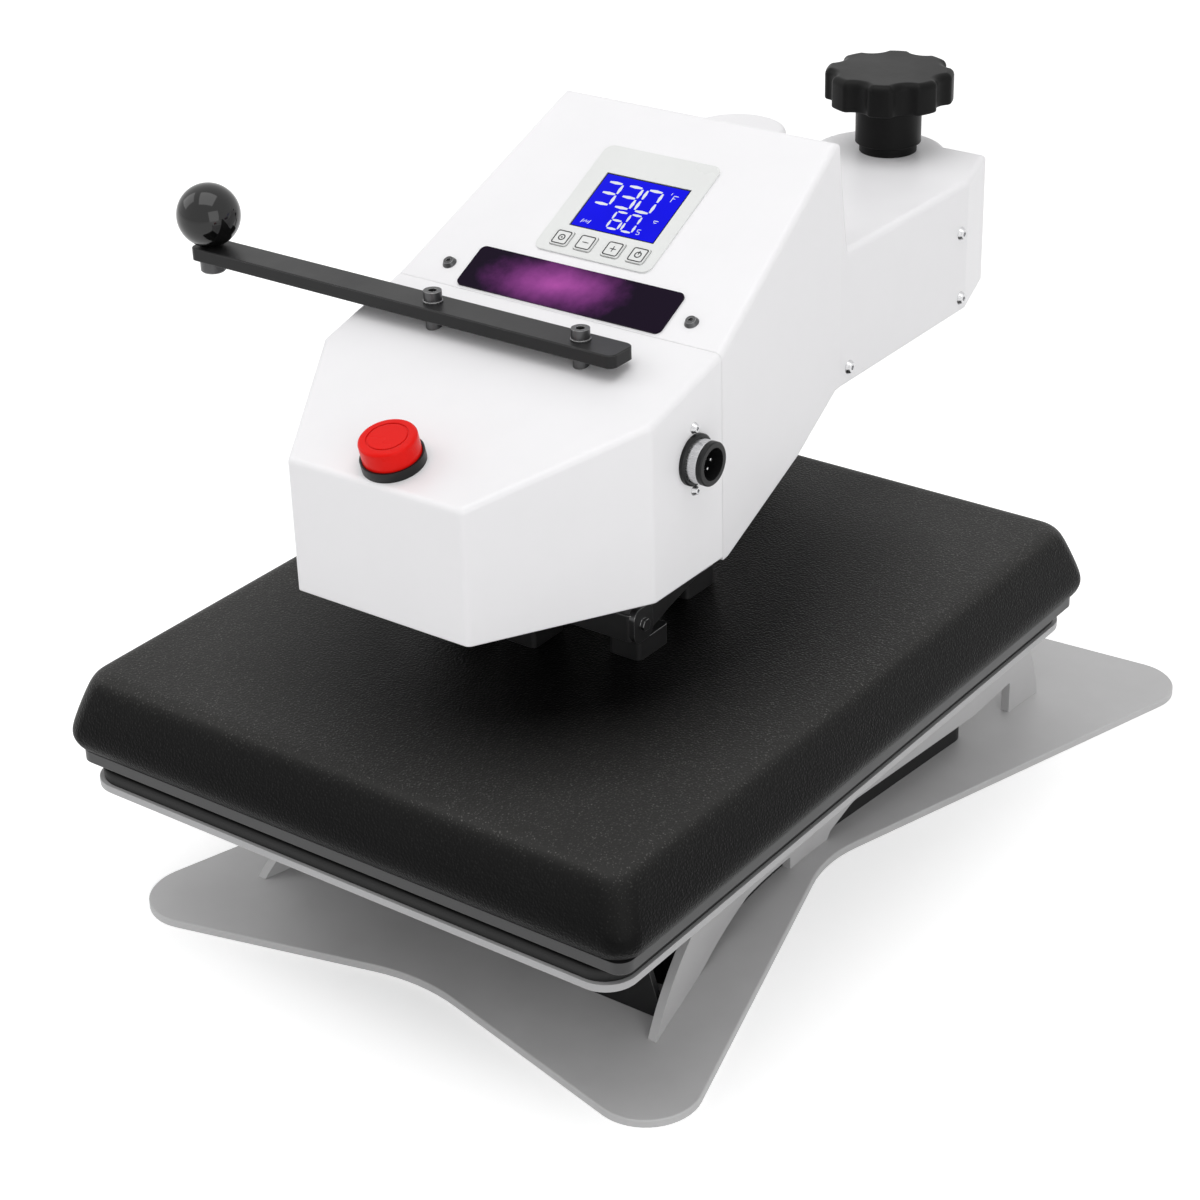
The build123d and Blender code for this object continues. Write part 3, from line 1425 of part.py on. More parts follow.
with BuildPart() as ball_knob:
    with Locations((ball_x, bar_y, z_bar_top + ball_radius - ball_flat)):
        Sphere(ball_radius)
    split(bisect_by=Plane.XY.offset(z_bar_top), keep=Keep.TOP)
    with BuildSketch(Plane.XY.offset(z_bar_top)):
        with Locations((ball_x, bar_y)):
            Circle(ball_stud_radius + shaft_gap)
    extrude(amount=ball_radius, mode=Mode.SUBTRACT)
ball_knob.part.label = "ball_knob"
export_step(ball_knob.part, "parts/ball_knob.step")

with BuildPart() as ball_stud:
    with BuildSketch(Plane.XY.offset(z_bar - ball_nut_height)):
        with Locations((ball_x, bar_y)):
            Circle(ball_nut_radius)
    extrude(amount=ball_nut_height)
    chamfer(ball_stud.edges().group_by(Axis.Z)[0], 1)
    with BuildSketch(Plane.XY.offset(z_bar)):
        with Locations((ball_x, bar_y)):
            Circle(ball_stud_radius)
    extrude(amount=bar_thickness + ball_radius - 1)
ball_stud.part.label = "ball_stud"
export_step(ball_stud.part, "parts/ball_stud.step")

# Mains inlet with its rocker switch, in the left wall of the block
inlet_socket_y = inlet_y + inlet_width / 5
rocker_y = inlet_y - inlet_width / 3.6
inlet_z = z_block + inlet_rise
with BuildPart() as mains_inlet:
    with BuildSketch(left_wall):
        with Locations((inlet_y, -inlet_z)):
            RectangleRounded(inlet_width, inlet_height, inlet_corner)
    extrude(amount=inlet_flange)
    with BuildSketch(left_wall):
        with Locations((inlet_y, -inlet_z)):
            Rectangle(inlet_width - 2 * inlet_frame, inlet_height - 2 * inlet_frame)
    extrude(amount=-inlet_depth)
    with BuildSketch(left_wall.offset(inlet_flange)):
        with Locations((inlet_socket_y, -inlet_z)):
            RectangleRounded(inlet_socket_width, inlet_socket_height, inlet_corner)
        with Locations((rocker_y, -inlet_z)):
            Rectangle(rocker_width + 2 * slip_gap, rocker_height + 2 * slip_gap)
    extrude(amount=-inlet_recess, mode=Mode.SUBTRACT)
    with BuildSketch(left_wall.offset(inlet_flange - inlet_recess)):
        with Locations(
            (inlet_socket_y, -inlet_z + inlet_pin_offset),
            (inlet_socket_y - inlet_pin_spacing / 2, -inlet_z - inlet_pin_offset),
            (inlet_socket_y + inlet_pin_spacing / 2, -inlet_z - inlet_pin_offset),
        ):
            Rectangle(inlet_pin_width, inlet_pin_height)
    extrude(amount=inlet_recess - inlet_pin_setback)
mains_inlet.part.label = "mains_inlet"
export_step(mains_inlet.part, "parts/mains_inlet.step")

# The rocker turns about a pin along Y; its ends are arcs about that pin, its face a shallow V
rocker_pivot_x = -arm_half_width + rocker_pivot_depth
rocker_reach = rocker_height / 2


def rocker_point(angle, reach):
    turned = radians(180 + angle - rocker_tilt)
    return (rocker_pivot_x + reach * cos(turned), inlet_z + reach * sin(turned))


with BuildPart() as power_rocker:
    with BuildSketch(Plane.XZ.offset(-rocker_y)):
        with BuildLine():
            back = rocker_angle + rocker_back_angle
            middle = rocker_angle + rocker_back_angle / 2
            top, bottom = rocker_point(-rocker_angle, rocker_reach), rocker_point(rocker_angle, rocker_reach)
            hollow = rocker_point(0, rocker_hollow * rocker_reach)
            Line(top, hollow)
            Line(hollow, bottom)
            ThreePointArc(bottom, rocker_point(middle, rocker_reach), rocker_point(back, rocker_reach))
            Line(rocker_point(back, rocker_reach), rocker_point(-back, rocker_reach))
            ThreePointArc(rocker_point(-back, rocker_reach), rocker_point(-middle, rocker_reach), top)
        make_face()
    extrude(amount=rocker_width / 2, both=True)
power_rocker.part.label = "power_rocker"
export_step(power_rocker.part, "parts/power_rocker.step")

# Push-in air fitting beside the mains inlet
with BuildPart() as air_fitting:
    with BuildSketch(left_wall):
        with Locations((air_fitting_y, -inlet_z)):
            RegularPolygon(air_nut_radius, 6)
    extrude(amount=air_nut_height)
    with BuildSketch(left_wall.offset(-air_fitting_depth)):
        with Locations((air_fitting_y, -inlet_z)):
            Circle(air_fitting_radius)
    extrude(amount=air_fitting_depth + air_fitting_length)
    with BuildSketch(left_wall.offset(air_fitting_length)):
        with Locations((air_fitting_y, -inlet_z)):
            Circle(air_port_radius)
    extrude(amount=-air_port_depth, mode=Mode.SUBTRACT)
air_fitting.part.label = "air_fitting"
export_step(air_fitting.part, "parts/air_fitting.step")
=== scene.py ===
"""Finishes and finer pieces of a swing-away heat press, laid over its packed construction."""
import json
import math

import bmesh
import bpy
from bpy.props import FloatProperty, FloatVectorProperty, PointerProperty
from bpy.types import Operator, Panel, PropertyGroup
from mathutils import Matrix, Vector


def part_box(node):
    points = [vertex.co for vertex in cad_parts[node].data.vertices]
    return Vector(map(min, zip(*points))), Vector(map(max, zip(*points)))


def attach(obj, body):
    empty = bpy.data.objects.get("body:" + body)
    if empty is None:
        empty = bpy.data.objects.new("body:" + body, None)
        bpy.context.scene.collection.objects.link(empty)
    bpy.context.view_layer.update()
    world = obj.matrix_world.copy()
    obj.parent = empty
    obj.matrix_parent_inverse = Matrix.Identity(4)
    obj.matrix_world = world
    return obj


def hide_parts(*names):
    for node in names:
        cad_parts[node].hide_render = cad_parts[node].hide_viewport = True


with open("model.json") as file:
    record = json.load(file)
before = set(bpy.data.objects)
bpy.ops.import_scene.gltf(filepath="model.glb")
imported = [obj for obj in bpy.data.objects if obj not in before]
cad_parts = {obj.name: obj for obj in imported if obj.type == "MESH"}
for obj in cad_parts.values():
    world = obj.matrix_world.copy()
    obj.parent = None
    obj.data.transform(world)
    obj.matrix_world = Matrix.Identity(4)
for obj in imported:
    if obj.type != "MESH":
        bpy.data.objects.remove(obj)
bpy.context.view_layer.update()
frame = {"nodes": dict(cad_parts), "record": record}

bl_info = {
    "name": "Swing-away heat press",
    "version": (1, 0, 0),
    "blender": (4, 5, 0),
    "location": "View3D > Sidebar > Heat Press",
    "description": "Dresses the packed heat press: coats, cover, pad, display, key prints and studio",
    "category": "Object",
}

MM = 0.001
# Least cosine between a face's normal, or an edge, and the way that it is said to look
FACING = 0.6
# Points nearer to each other than this count as one
NEAR = 0.01 * MM
# Thickness of a print or of a lit bar
FILM = 0.05 * MM
# Width of the frame that the camera's lens is given for, in millimetres
LENS_FRAME = 36


# Sizes, colours and studio settings that a user may change

def length_setting(name, description, value):
    """A length that the user can change."""
    return FloatProperty(
        name=name, description=description, default=value, unit="LENGTH", subtype="DISTANCE")


def colour_setting(name, description, value):
    """A colour that the user can change."""
    return FloatVectorProperty(
        name=name, description=description, default=value, size=3, min=0, max=1, subtype="COLOR")


class HeatPressSizes(PropertyGroup):
    """Sizes of the pieces that are modelled here"""

    cover_corner: length_setting("Cover corner", "Plan radius of the cover's corners", 17 * MM)
    cover_wall: length_setting("Cover wall", "Thickness of the cover's skin", 2.5 * MM)
    # Half sizes of the oval of painted shade that the head casts on the cover's top
    head_shade_oval_width: length_setting(
        "Shelter width", "Half the width of the oval on the cover that the head shelters", 200 * MM)
    head_shade_oval_length: length_setting(
        "Shelter length", "Half the length of the oval on the cover that the head shelters", 270 * MM)
    pad_corner: length_setting("Pad corner", "Plan radius of the pad's corners", 20 * MM)
    pad_edge: length_setting(
        "Pad edge", "Radius of the pad's upper edges, three times that of its lower ones", 2.2 * MM)
    display_border: length_setting(
        "Display border", "Dark border between the window's edge and the lit glass", 0.9 * MM)
    glass_thickness: length_setting("Glass thickness", "Thickness of the lit glass", 0.2 * MM)
    glass_rim: length_setting("Glass rim", "Width of the sloping rim of the lit glass", 0.3 * MM)
    glass_swell: length_setting("Glass swell", "How far the glass stands up inside its rim", 0.05 * MM)
    digit_gap: length_setting("Digit gap", "Gap between the glass and its lit bars", 0.02 * MM)
    large_digit: length_setting("Large digit", "Height of the temperature digits", 17.6 * MM)
    small_digit: length_setting("Small digit", "Height of the time digits", 13.6 * MM)
    socket_depth: length_setting("Socket depth", "From the socket's mouth to its contacts", 12 * MM)
    contact_radius: length_setting("Contact radius", "Radius of each contact of the socket", 0.95 * MM)
    contact_length: length_setting(
        "Contact length", "How far each contact stands up in the socket", 7 * MM)
    contact_circle: length_setting(
        "Contact circle", "Radius of the circle on which the contacts stand", 4.75 * MM)
    key_frame: length_setting("Key frame", "Width of the printed frame on each key", 10.6 * MM)
    key_corner: length_setting("Key corner", "Radius of the corners of that frame", 1.6 * MM)
    sign_ring: length_setting("Sign ring", "Radius of the ring printed on a key", 2.4 * MM)
    sign_stroke: length_setting("Sign stroke", "Length of the stroke printed on a key", 4.6 * MM)
    print_line: length_setting("Print line", "Line width of the prints on the keys", 0.75 * MM)
    print_rise: length_setting("Print rise", "How far a print stands above what it lies on", 0.06 * MM)


class HeatPressColours(PropertyGroup):
    """Colours of the finishes, as linear values"""

    head: colour_setting("Head", "White powder coat of the hood and the arm", (0.9, 0.893, 0.908))
    base: colour_setting("Base", "Grey powder coat of the base and its plates", (0.54, 0.537, 0.54))
    table: colour_setting("Table", "Grey coat of the lower table", (0.42, 0.42, 0.425))
    cover: colour_setting("Cover", "Black pebbled coat of the platen's cover", (0.003, 0.003, 0.0031))
    pad: colour_setting("Pad", "Black silicone of the pad", (0.011, 0.011, 0.011))
    bar: colour_setting("Bar", "Black coat of the handle's bar", (0.017, 0.017, 0.0175))
    knob: colour_setting("Knob", "Black plastic of the knob", (0.006, 0.006, 0.006))
    ball: colour_setting("Ball", "Polished black ball of the handle", (0.004, 0.004, 0.004))
    button: colour_setting("Button", "Red plastic of the push button", (0.8, 0.007, 0.004))
    glass: colour_setting("Glass", "Lit glass of the display", (0.001, 0.001, 0.84))
    digit: colour_setting("Digit", "Lit digits of the display", (0.92, 0.95, 1.0))
    panel: colour_setting("Panel", "Pale film round the display and keys", (0.78, 0.79, 0.78))
    ink: colour_setting("Ink", "Printed lines on the keys", (0.012, 0.012, 0.013))
    strip: colour_setting("Strip", "Dark ends of the trim strip", (0.007, 0.002, 0.012))
    strip_violet: colour_setting("Strip violet", "Between the strip's ends and glow", (0.11, 0.02, 0.16))
    strip_glow: colour_setting("Strip glow", "Bright middle of the trim strip", (0.42, 0.08, 0.37))
    # Edge colour of the grey plates: a painted highlight along their edges, with patches of wear
    grey_edge_sheen_and_wear: colour_setting("Bare edge", "Rubbed edges of grey plates", (0.62, 0.62, 0.62))
    # The dust colour also paints the pale sheen on the cover's top
    dust: colour_setting("Dust", "Fine dust on upper faces", (0.5, 0.49, 0.47))
    steel: colour_setting("Steel", "Bright steel of screws and rods", (0.62, 0.62, 0.63))
    floor: colour_setting("Floor", "Pale floor of the studio", (0.93, 0.93, 0.93))


class HeatPressStudio(PropertyGroup):
    """Camera, floor and lamps"""

    camera_place: FloatVectorProperty(
        name="Camera place", description="Where the camera stands",
        default=(0.9191, -1.2164, 0.9869), size=3, subtype="TRANSLATION", unit="LENGTH")
    azimuth: FloatProperty(
        name="Azimuth", description="How far the camera stands round to the right",
        default=math.radians(36.96), subtype="ANGLE")
    elevation: FloatProperty(
        name="Elevation", description="How far the camera looks down",
        default=math.radians(27.9), subtype="ANGLE")
    roll: FloatProperty(
        name="Roll", description="Tilt of the picture", default=math.radians(-1.73), subtype="ANGLE")
    lens: FloatProperty(
        name="Lens", description="Focal length on a 36 mm frame, in millimetres", default=83.05, min=10)
    floor_reach: length_setting("Floor reach", "Side of the square floor", 14.0)
    floor_lift: FloatProperty(
        name="Floor lift", description="How much whiter the floor is seen than it is lit",
        default=0.4, min=0)
    sky_strength: FloatProperty(
        name="Sky strength", description="Even light from all round", default=0.56, min=0)
    lamp_strength: FloatProperty(
        name="Lamp strength", description="Strength of the three broad lamps", default=1.0, min=0)


# Small tools for modelling by hand

def start_clean():
    """Back to object mode with nothing selected."""
    if bpy.context.mode != "OBJECT":
        bpy.ops.object.mode_set(mode="OBJECT")
    bpy.ops.object.select_all(action="DESELECT")


def named(name):
    """Name the piece that was just added."""
    piece = bpy.context.active_object
    piece.name = name
    piece.data.name = name
    return piece


def pick(piece):
    """Select this piece alone."""
    start_clean()
    piece.select_set(True)
    bpy.context.view_layer.objects.active = piece


def open_piece(piece):
    """The piece's mesh in edit mode, with nothing selected."""
    pick(piece)
    bpy.ops.object.mode_set(mode="EDIT")
    bpy.ops.mesh.select_mode(type="FACE")
    bpy.ops.mesh.select_all(action="DESELECT")


def choose(piece, kind, test):
    """Select the vertices, edges or faces of the open piece that pass the test."""
    bpy.ops.mesh.select_mode(type=kind)
    bpy.ops.mesh.select_all(action="DESELECT")
    shape = bmesh.from_edit_mesh(piece.data)
    parts = {"VERT": shape.verts, "EDGE": shape.edges, "FACE": shape.faces}[kind]
    for part in parts:
        part.select_set(test(part))
    shape.select_flush_mode()
    bmesh.update_edit_mesh(piece.data)


def middle(edge):
    """Midpoint of an edge."""
    return (edge.verts[0].co + edge.verts[1].co) / 2


def upright(edge):
    """True for an edge that stands along Z."""
    along = edge.verts[1].co - edge.verts[0].co
    return abs(along.normalized().z) > FACING


def close_piece(piece, smooth_angle=35):
    """Leave edit mode, point the faces outwards and smooth what is shallow."""
    bpy.ops.mesh.select_all(action="SELECT")
    bpy.ops.mesh.remove_doubles(threshold=NEAR)
    bpy.ops.mesh.normals_make_consistent(inside=False)
    bpy.ops.object.mode_set(mode="OBJECT")
    bpy.ops.object.shade_smooth_by_angle(angle=math.radians(smooth_angle))
    return piece


def apply_modifier(piece, kind, **settings):
    """Add a modifier with these settings and apply it."""
    pick(piece)
    modifier = piece.modifiers.new(kind.lower(), kind)
    for setting, value in settings.items():
        setattr(modifier, setting, value)
    bpy.ops.object.modifier_apply(modifier=modifier.name)


def settle(piece, place=None):
    """Move the piece's place into its mesh."""
    pick(piece)
    if place is not None:
        piece.matrix_world = place @ piece.matrix_world
    bpy.ops.object.transform_apply(location=True, rotation=True, scale=True)
    return piece


def copy_of(piece, place):
    """A copy with its own mesh, at another place."""
    twin = piece.copy()
    twin.data = piece.data.copy()
    bpy.context.scene.collection.objects.link(twin)
    twin.matrix_world = place
    return twin


def join_pieces(name, pieces):
    """One piece from several."""
    start_clean()
    for piece in pieces:
        piece.select_set(True)
    bpy.context.view_layer.objects.active = pieces[0]
    bpy.ops.object.transform_apply(location=True, rotation=True, scale=True)
    bpy.ops.object.join()
    return named(name)


def finish_piece(piece, body, material):
    """Give the piece its material and its body."""
    piece.data.materials.clear()
    piece.data.materials.append(material)
    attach(piece, body)


def upper_face(node):
    """Frame at the middle of the node's largest flat side that looks up, with its width and height."""
    mesh = frame["nodes"][node].data
    sides = {}
    for face in mesh.polygons:
        if face.normal.z > FACING:
            plane = tuple(round(c, 2) for c in face.normal) + (round(face.normal.dot(face.center), 4),)
            sides.setdefault(plane, []).append(face)
    faces = max(sides.values(), key=lambda group: sum(face.area for face in group))
    normal = sum((face.normal * face.area for face in faces), Vector()).normalized()
    x_axis = Vector((1, 0, 0))
    across = (x_axis - x_axis.dot(normal) * normal).normalized()
    rise = normal.cross(across)
    corners = [mesh.vertices[i].co for face in faces for i in face.vertices]
    widths = [corner.dot(across) for corner in corners]
    heights = [corner.dot(rise) for corner in corners]
    centre = across * (min(widths) + max(widths)) / 2 + rise * (min(heights) + max(heights)) / 2
    centre += normal * corners[0].dot(normal)
    place = Matrix((across, rise, normal)).transposed().to_4x4()
    place.translation = centre
    return place, max(widths) - min(widths), max(heights) - min(heights)


def shift(x=0.0, y=0.0, z=0.0):
    """A move in the piece's own frame."""
    return Matrix.Translation((x, y, z))


def turn(degrees):
    """A turn about the piece's own Z."""
    return Matrix.Rotation(math.radians(degrees), 4, "Z")


# Shader groups that several finishes share

def new_group(name, inputs, outputs):
    """An empty node group with named sockets, each given as name, kind and default."""
    group = bpy.data.node_groups.new(name, "ShaderNodeTree")
    for label, kind, default in inputs:
        socket = group.interface.new_socket(name=label, in_out="INPUT", socket_type=kind)
        if default is not None:
            socket.default_value = default
    for label, kind in outputs:
        group.interface.new_socket(name=label, in_out="OUTPUT", socket_type=kind)
    entry = group.nodes.new("NodeGroupInput")
    leave = group.nodes.new("NodeGroupOutput")
    return group, entry, leave


def add_node(tree, kind, values=(), **settings):
    """A node with its settings and the values of its unlinked inputs."""
    node = tree.nodes.new(kind)
    for setting, value in settings.items():
        setattr(node, setting, value)
    for socket, value in dict(values).items():
        node.inputs[socket].default_value = value
    return node


def math_node(tree, operation, first, second, clamp=False):
    """A maths node on two links or numbers; its result."""
    node = add_node(tree, "ShaderNodeMath", operation=operation, use_clamp=clamp)
    for index, source in enumerate((first, second)):
        if isinstance(source, (int, float)):
            node.inputs[index].default_value = source
        else:
            tree.links.new(source, node.inputs[index])
    return node.outputs[0]


def blend_colour(tree, factor, first, second):
    """Mix two colours, each a link or a value, by a link; its result."""
    node = add_node(tree, "ShaderNodeMix", data_type="RGBA")
    tree.links.new(factor, node.inputs["Factor"])
    for label, source in (("A", first), ("B", second)):
        socket = [s for s in node.inputs if s.name == label and s.type == "RGBA"][0]
        if isinstance(source, bpy.types.NodeSocket):
            tree.links.new(source, socket)
        else:
            socket.default_value = (*source, 1)
    return [s for s in node.outputs if s.type == "RGBA"][0]


def stretch(tree, source, low, high, out_low=0.0, out_high=1.0):
    """Map a value's range onto another, without going past its ends."""
    node = add_node(tree, "ShaderNodeMapRange", {
        "From Min": low, "From Max": high, "To Min": out_low, "To Max": out_high})
    tree.links.new(source, node.inputs["Value"])
    return node.outputs["Result"]


def looking_up(tree, low, high):
    """0 where a face's upward part is under the low value, and 1 where it is over the high one."""
    facing = add_node(tree, "ShaderNodeNewGeometry")
    parts = add_node(tree, "ShaderNodeSeparateXYZ")
    tree.links.new(facing.outputs["Normal"], parts.inputs[0])
    return stretch(tree, parts.outputs["Z"], low, high)


def oval_reach(tree, vector, half_sizes, location=(0, 0, 0)):
    """How far out a point lies in an oval: 0 in its middle and 1 on its rim.

    The location moves the oval's middle the other way, as a share of its half sizes.
    """
    scale = tuple(1 / half if half else 0 for half in half_sizes)
    oval = add_node(tree, "ShaderNodeMapping", {"Location": location, "Scale": scale})
    reach = add_node(tree, "ShaderNodeVectorMath", operation="LENGTH")
    tree.links.new(vector, oval.inputs["Vector"])
    tree.links.new(oval.outputs["Vector"], reach.inputs[0])
    return reach.outputs["Value"]


def group_noise(group, entry, scale, detail, roughness):
    """A noise inside a group, as coarse as the group's socket of that name says."""
    noise = add_node(group, "ShaderNodeTexNoise", {"Detail": detail, "Roughness": roughness})
    group.links.new(entry.outputs["Vector"], noise.inputs["Vector"])
    group.links.new(entry.outputs[scale], noise.inputs["Scale"])
    return noise.outputs["Fac"]


def make_grain_group():
    """Fine grain of a coat: a height for bump and a slow change of tone."""
    group, entry, leave = new_group(
        "coat_grain",
        [("Vector", "NodeSocketVector", None), ("Grain Scale", "NodeSocketFloat", 900.0),
         ("Cloud Scale", "NodeSocketFloat", 14.0)],
        [("Height", "NodeSocketFloat"), ("Tone", "NodeSocketFloat")])
    fine = group_noise(group, entry, "Grain Scale", 2.0, 0.55)
    cloud = group_noise(group, entry, "Cloud Scale", 4.0, 0.6)
    group.links.new(fine, leave.inputs["Height"])
    group.links.new(stretch(group, cloud, 0.3, 0.7), leave.inputs["Tone"])
    return group


def make_pebble_group():
    """Pebbled coat: rounded bumps of uneven size, with their height."""
    group, entry, leave = new_group(
        "pebbles",
        [("Vector", "NodeSocketVector", None), ("Scale", "NodeSocketFloat", 800.0)],
        [("Height", "NodeSocketFloat"), ("Speck", "NodeSocketFloat")])
    cells = add_node(group, "ShaderNodeTexVoronoi", {"Smoothness": 0.6}, feature="SMOOTH_F1")
    swirl = add_node(group, "ShaderNodeTexNoise", {"Detail": 3.0, "Roughness": 0.6})
    coarser = math_node(group, "MULTIPLY", entry.outputs["Scale"], 0.8)
    for node in (cells, swirl):
        group.links.new(entry.outputs["Vector"], node.inputs["Vector"])
    group.links.new(entry.outputs["Scale"], cells.inputs["Scale"])
    group.links.new(coarser, swirl.inputs["Scale"])
    bumps = stretch(group, cells.outputs["Distance"], 0.0, 0.75, out_low=1.0, out_high=0.0)
    height = math_node(group, "MULTIPLY", bumps, swirl.outputs["Fac"])
    group.links.new(height, leave.inputs["Height"])
    group.links.new(stretch(group, height, 0.3, 0.55), leave.inputs["Speck"])
    return group


def make_edge_group():
    """Soft edges: a rounded normal, and a mask that is high along an edge, for a painted edge highlight,
    and higher in patches of wear.
    """
    group, entry, leave = new_group(
        "soft_edges",
        [("Vector", "NodeSocketVector", None), ("Radius", "NodeSocketFloat", 0.0008),
         ("Patch Scale", "NodeSocketFloat", 60.0), ("Evenness", "NodeSocketFloat", 0.5)],
        [("Normal", "NodeSocketVector"), ("Mask", "NodeSocketFloat")])
    rounded = add_node(group, "ShaderNodeBevel", samples=6)
    flat = add_node(group, "ShaderNodeNewGeometry")
    turned = add_node(group, "ShaderNodeVectorMath", operation="DOT_PRODUCT")
    patches = group_noise(group, entry, "Patch Scale", 3.0, 0.65)
    group.links.new(entry.outputs["Radius"], rounded.inputs["Radius"])
    group.links.new(rounded.outputs["Normal"], turned.inputs[0])
    group.links.new(flat.outputs["Normal"], turned.inputs[1])
    edge = stretch(group, turned.outputs["Value"], 0.995, 0.88)
    worn = stretch(group, patches, 0.4, 0.62)
    kept = math_node(group, "MAXIMUM", worn, entry.outputs["Evenness"])
    group.links.new(math_node(group, "MULTIPLY", edge, kept), leave.inputs["Mask"])
    group.links.new(rounded.outputs["Normal"], leave.inputs["Normal"])
    return group


def make_dust_group():
    """Dust that settles on faces that look up, thicker in clouds."""
    group, entry, leave = new_group(
        "settled_dust",
        [("Vector", "NodeSocketVector", None), ("Cloud Scale", "NodeSocketFloat", 35.0),
         ("Amount", "NodeSocketFloat", 0.1)],
        [("Mask", "NodeSocketFloat")])
    cloudy = stretch(group, group_noise(group, entry, "Cloud Scale", 6.0, 0.7), 0.35, 0.75)
    lying = math_node(group, "MULTIPLY", looking_up(group, 0.5, 0.95), cloudy)
    amount = math_node(group, "MULTIPLY", lying, entry.outputs["Amount"], clamp=True)
    group.links.new(amount, leave.inputs["Mask"])
    return group


def make_brushed_group():
    """Fine parallel lines of brushed or turned metal along one axis."""
    group, entry, leave = new_group(
        "brushed_lines",
        [("Vector", "NodeSocketVector", None), ("Scale", "NodeSocketFloat", 900.0)],
        [("Height", "NodeSocketFloat"), ("Tone", "NodeSocketFloat")])
    squeezed = add_node(group, "ShaderNodeMapping", {"Scale": (0.03, 1.0, 1.0)})
    lines = add_node(group, "ShaderNodeTexNoise", {"Detail": 3.0, "Roughness": 0.6})
    group.links.new(entry.outputs["Vector"], squeezed.inputs["Vector"])
    group.links.new(squeezed.outputs["Vector"], lines.inputs["Vector"])
    group.links.new(entry.outputs["Scale"], lines.inputs["Scale"])
    group.links.new(lines.outputs["Fac"], leave.inputs["Height"])
    group.links.new(stretch(group, lines.outputs["Fac"], 0.3, 0.7), leave.inputs["Tone"])
    return group


GROUPS = {}


def build_groups():
    """Make each shared group once."""
    GROUPS["grain"] = make_grain_group()
    GROUPS["pebble"] = make_pebble_group()
    GROUPS["edges"] = make_edge_group()
    GROUPS["dust"] = make_dust_group()
    GROUPS["brushed"] = make_brushed_group()


def place_group(tree, kind, vector, **values):
    """A shared group in a material, with its own values."""
    node = tree.nodes.new("ShaderNodeGroup")
    node.node_tree = GROUPS[kind]
    tree.links.new(vector, node.inputs["Vector"])
    for label, value in values.items():
        node.inputs[label.replace("_", " ")].default_value = value
    return node


# Materials

def blank_material(name, roughness, metallic=0.0):
    """A material with one Principled shader, and the object's own coordinates."""
    material = bpy.data.materials.new(name)
    material.use_nodes = True
    tree = material.node_tree
    tree.nodes.clear()
    output = tree.nodes.new("ShaderNodeOutputMaterial")
    shader = add_node(tree, "ShaderNodeBsdfPrincipled", {"Roughness": roughness, "Metallic": metallic})
    tree.links.new(shader.outputs["BSDF"], output.inputs["Surface"])
    vector = tree.nodes.new("ShaderNodeTexCoord").outputs["Object"]
    return material, tree, shader, vector


def shade(colour, factor):
    """The colour made darker or lighter."""
    return tuple(min(1.0, c * factor) for c in colour)


def bump(tree, shader, height, distance, normal=None):
    """Feed a height to the shader's normal, over a rounded normal if there is one."""
    node = add_node(tree, "ShaderNodeBump", {"Distance": distance})
    tree.links.new(height, node.inputs["Height"])
    if normal is not None:
        tree.links.new(normal, node.inputs["Normal"])
    tree.links.new(node.outputs["Normal"], shader.inputs["Normal"])


def coat(name, colour, roughness, grain, spread=0.15, depth=0.03 * MM, edge=0.5 * MM, metallic=0.0,
         edge_sheen_and_wear=None, evenness=0.5, dust=0.0, rough_spread=0.06, brushed=False, gleam=0.5):
    """A coat or a plain material: grain, slow change of tone, soft edges with a painted highlight and wear
    along them, and dust.
    """
    material, tree, shader, vector = blank_material(name, roughness, metallic)
    if brushed:
        texture = place_group(tree, "brushed", vector, Scale=grain)
    else:
        texture = place_group(tree, "grain", vector, Grain_Scale=grain)
    tone = texture.outputs["Tone"]
    edges = place_group(tree, "edges", vector, Radius=edge, Evenness=evenness)
    base = blend_colour(tree, tone, shade(colour, 1 - spread), shade(colour, 1 + spread))
    # Lighter along the edges: a painted edge highlight, with patches of wear
    if edge_sheen_and_wear is not None:
        base = blend_colour(tree, edges.outputs["Mask"], base, edge_sheen_and_wear)
    if dust:
        settled = place_group(tree, "dust", vector, Amount=dust)
        dust_colour = bpy.context.scene.heat_press_colours.dust
        base = blend_colour(tree, settled.outputs["Mask"], base, dust_colour)
    tree.links.new(base, shader.inputs["Base Color"])
    rough = stretch(tree, tone, 0.0, 1.0, roughness - rough_spread, roughness + rough_spread)
    tree.links.new(rough, shader.inputs["Roughness"])
    shader.inputs["Specular IOR Level"].default_value = gleam
    bump(tree, shader, texture.outputs["Height"], depth, normal=edges.outputs["Normal"])
    return material


